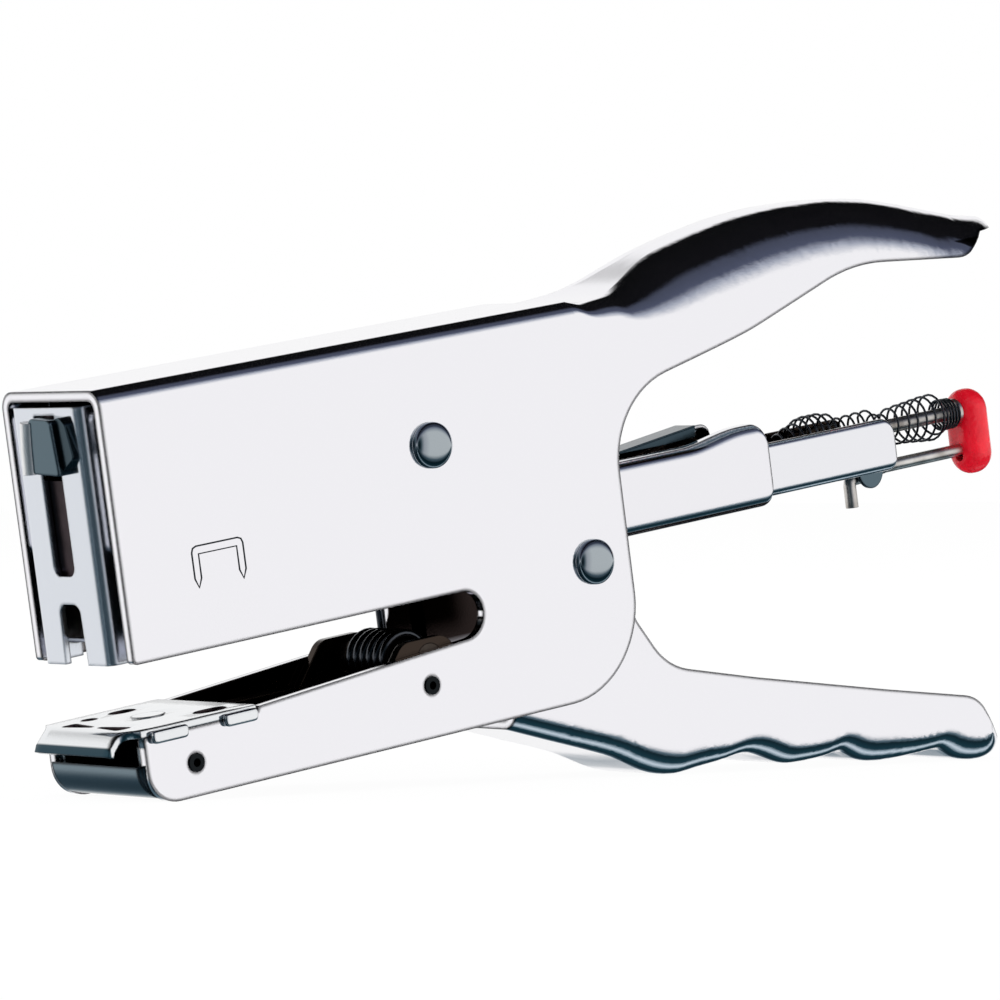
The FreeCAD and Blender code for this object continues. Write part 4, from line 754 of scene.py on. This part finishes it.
STUD_X, GROOVE, DIMPLE, THROUGH, CLEAR = -62.5, 0.45, 0.4, 3.0, 2.0
cuts = [(softened([(-71.2, side * 5.9, 0.7), (-68.9, side * 5.9, 0.7), (-69.8, side * 0.7, 0.2),
                   (-70.4, side * 0.7, 0.2)]), GROOVE) for side in (-1, 1)]
cuts += [(circle(-58.2, -6.6, 1.5, tall=1.5), THROUGH), (circle(-61.6, 6.6, 1.3, tall=1.4), THROUGH),
         (circle(STUD_X, 0.0, 2.05), THROUGH), (circle(-66.6, 6.3, 1.0), DIMPLE)]
for outline, depth in cuts:
    tool = prisms("cutter", [("XY", outline, TOP - depth, TOP + CLEAR)], BLADE)
    hole = plate.modifiers.new("hole", "BOOLEAN")
    hole.operation, hole.solver, hole.object = "DIFFERENCE", "EXACT", tool
    hole.material_mode = "TRANSFER"
    settle(plate)
    bpy.data.objects.remove(tool)
softened_edges(plate, 0.09, 2)
smoothed(plate.data, crease=35)
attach(plate, "frame")
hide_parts("anvil_plate")
print("plate has", len(cuts), "cuts")

# %% Tabs and stud
TAB_TOP, TAB_FOOT, TAB_IN, TAB_OUT = TOP - 0.25, TOP - SHEET - 0.9, 10.02, 10.85
tabs = []
for front, back in ((-69.6, -64.4), (-59.0, -54.2)):
    tab = softened([(front, TAB_TOP, 0.5), (back, TAB_TOP, 0.5), (back, TAB_FOOT, 0.9),
                    (front, TAB_FOOT, 0.9)])
    tabs += [("XZ", tab, -TAB_OUT, -TAB_IN), ("XZ", tab, TAB_IN, TAB_OUT)]
folded = slabs("clinch_plate_tabs", tabs, ANVIL, "frame", bevel=0.3)
stud_round = circle(STUD_X, 0.0, 2.0)
stud = slabs("flush_stud", [("XY", stud_round, TOP - 0.8, TOP + 0.08)], ANVIL, "frame", bevel=0.08)
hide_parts("anvil_stud")
print("plate has", len(tabs), "tabs")

# %% [markdown]
# ## Staple mark
# The cheek carries a small outline of a staple, the usual mark for what the tool takes. On the
# tool it is a fine dark line in the plate, and here a thin dark bead is laid along the outline.

# %% The staple mark on the cheek
LINE = steel("etched_line", "#454a4e", 0.45, 0.2)
HALF_WIDTH = 10.0
tall, wide, thick, point = 4.9, 7.5, 0.95, 1.1
left, base = -60.2, 7.3
right, top, crown = left + wide, base + tall, base + tall - thick
outline = [(left, base + point), (left, top - 0.7), (left + 0.2, top - 0.2), (left + 0.7, top),
           (right - 0.7, top), (right - 0.2, top - 0.2), (right, top - 0.7), (right, base + point),
           (right - thick * 0.5, base), (right - thick, base + point), (right - thick, crown),
           (left + thick, crown), (left + thick, base + point), (left + thick * 0.5, base)]
outline.append(outline[0])
bead = [(x, -HALF_WIDTH + 0.01, z) for x, z in outline]
mark = wire_along("staple_mark", bead, 0.22, LINE, "frame", sides=6)

# %% [markdown]
# ## Camera
# A long lens from a few degrees off the head's nose, low enough to see the side of every
# sheet. A long lens keeps the handles from growing with distance.

# %% Camera
camera_data = bpy.data.cameras.new("camera")
camera_data.lens, camera_data.sensor_width = 201.3, 36.0
camera_data.clip_start, camera_data.clip_end = 0.02, 20.0
camera = placed("camera", camera_data)
camera.location = (-0.44367, -0.54107, 0.04017)
camera.rotation_euler = [math.radians(a) for a in (89.557, 0.126, -38.963)]
bpy.context.scene.camera = camera
print("camera lens", camera_data.lens)

# %% [markdown]
# ## Light for polished metal
# Polished metal shows what stands round it and hardly shows the lamps. So the surroundings do the
# work: a white band all round at eye level, dark above the back and dark below, as black
# cards stand round chrome in a studio. The lamps only light the plastic and the floor.

# %% Surroundings
bpy.context.scene.view_settings.view_transform = "Standard"
world = bpy.data.worlds.new("studio")
bpy.context.scene.world = world
world.use_nodes = True
sky = world.node_tree
sky.nodes.clear()
looked = add(sky, "ShaderNodeTexCoord").outputs["Generated"]
way = add(sky, "ShaderNodeSeparateXYZ", Vector=looked)
fore = add(sky, "ShaderNodeMath", {"operation": "MULTIPLY"}, i0=way.outputs["Y"], i1=-1.0)
round_x = add(sky, "ShaderNodeMath", {"operation": "ARCTAN2"}, i0=way.outputs["Z"], i1=fore.outputs[0])
# 0 is straight down, 0.25 the near horizon, 0.5 overhead, 0.75 the far horizon, 1 down again
lap = add(sky, "ShaderNodeMath", {"operation": "MULTIPLY_ADD"},
          i0=round_x.outputs[0], i1=0.5 / math.pi, i2=0.25)
lap = add(sky, "ShaderNodeMath", {"operation": "FRACT"}, i0=lap.outputs[0])
# the two sides are alike up to the white band, and the near half is bright further up
LOW_SIDE = [(0.0, "#c9d6de"), (0.025, "#93a7b2"), (0.05, "#1b3944"), (0.13, "#12262e"), (0.165, "#5f7480")]
low_near = [(spot, colour(shade)) for spot, shade in LOW_SIDE] + [(0.195, grey(0.93))]
low_far = [(1.0 - spot, shade) for spot, shade in reversed(low_near)]
overhead = [(0.235, grey(0.95)), (0.33, grey(0.95)), (0.37, colour("#aab0bd")), (0.40, colour("#4c5266")),
            (0.445, colour("#434858")), (0.47, colour("#0c0c10")), (0.635, colour("#08090a")),
            (0.66, grey(0.95)), (0.765, grey(0.95))]
seen = ramp(sky, lap.outputs[0], low_near + overhead + low_far)
# a dark card stands where the tool is looked at from, with a soft light grey rim
STAND = Vector((-0.63, -0.78, 0.0))
toward = add(sky, "ShaderNodeVectorMath", {"operation": "DOT_PRODUCT"}, i0=looked, i1=STAND)
card = ramp(sky, toward.outputs["Value"], [(0.55, grey(1.0)), (0.80, colour("#d9d9df")),
                                           (0.93, colour("#5d6f79")), (0.985, colour("#1c2c33"))])
seen = add(sky, "ShaderNodeMix", {"data_type": "RGBA", "blend_type": "MULTIPLY"},
           Factor=1.0, i6=seen, i7=card)
path = add(sky, "ShaderNodeLightPath")
room = add(sky, "ShaderNodeBackground", Color=seen.outputs[2], Strength=1.0)
plain = add(sky, "ShaderNodeBackground", Color=grey(0.8), Strength=0.9)
white = add(sky, "ShaderNodeBackground", Color=grey(1.0), Strength=1.0)
shiny = add(sky, "ShaderNodeMixShader", Fac=path.outputs["Is Glossy Ray"],
            i1=plain.outputs[0], i2=room.outputs[0])
shown = add(sky, "ShaderNodeMixShader", Fac=path.outputs["Is Camera Ray"],
            i1=shiny.outputs[0], i2=white.outputs[0])
add(sky, "ShaderNodeOutputWorld", Surface=shown.outputs[0])
print("surroundings of", len(sky.nodes), "nodes")

# %% Floor and lamps
floor_mesh = bpy.data.meshes.new("floor")
REACH = 3
floor_corners = [(-REACH, -REACH, 0), (REACH, -REACH, 0), (REACH, REACH, 0), (-REACH, REACH, 0)]
floor_mesh.from_pydata(floor_corners, [], [(0, 1, 2, 3)])
floor = placed("floor", floor_mesh)
floor.visible_glossy = False
floor_look, tree, shader, place = finish_of("pale_floor")
shader.inputs["Base Color"].default_value = grey(0.95)
shader.inputs["Roughness"].default_value = 0.9
shader.inputs["Specular IOR Level"].default_value = 0.0
glow = add(tree, "ShaderNodeEmission", Color=grey(1.0), Strength=1.0)
eye = add(tree, "ShaderNodeLightPath")
share = add(tree, "ShaderNodeMath", {"operation": "MULTIPLY"}, i0=eye.outputs["Is Camera Ray"], i1=0.97)
blend = add(tree, "ShaderNodeMixShader", Fac=share.outputs[0], i1=shader.outputs[0], i2=glow.outputs[0])
tree.links.new(blend.outputs[0], tree.nodes["Material Output"].inputs["Surface"])
floor_mesh.materials.append(floor_look)


def lamp(name, place, size, power):
    """A soft box that looks at the tool and isn't mirrored in it."""
    data = bpy.data.lights.new(name, "AREA")
    data.size, data.energy = size, power
    made = placed(name, data)
    made.location = place
    made.rotation_euler = (-Vector(place)).to_track_quat("-Z", "Y").to_euler()
    made.visible_glossy = False


lamp("key", (-0.9, -1.0, 1.3), 0.9, 16)
lamp("fill", (1.2, -0.7, 1.0), 1.0, 8)
lamp("top", (0.1, 0.7, 1.6), 1.0, 10)
print("three lamps and a floor")
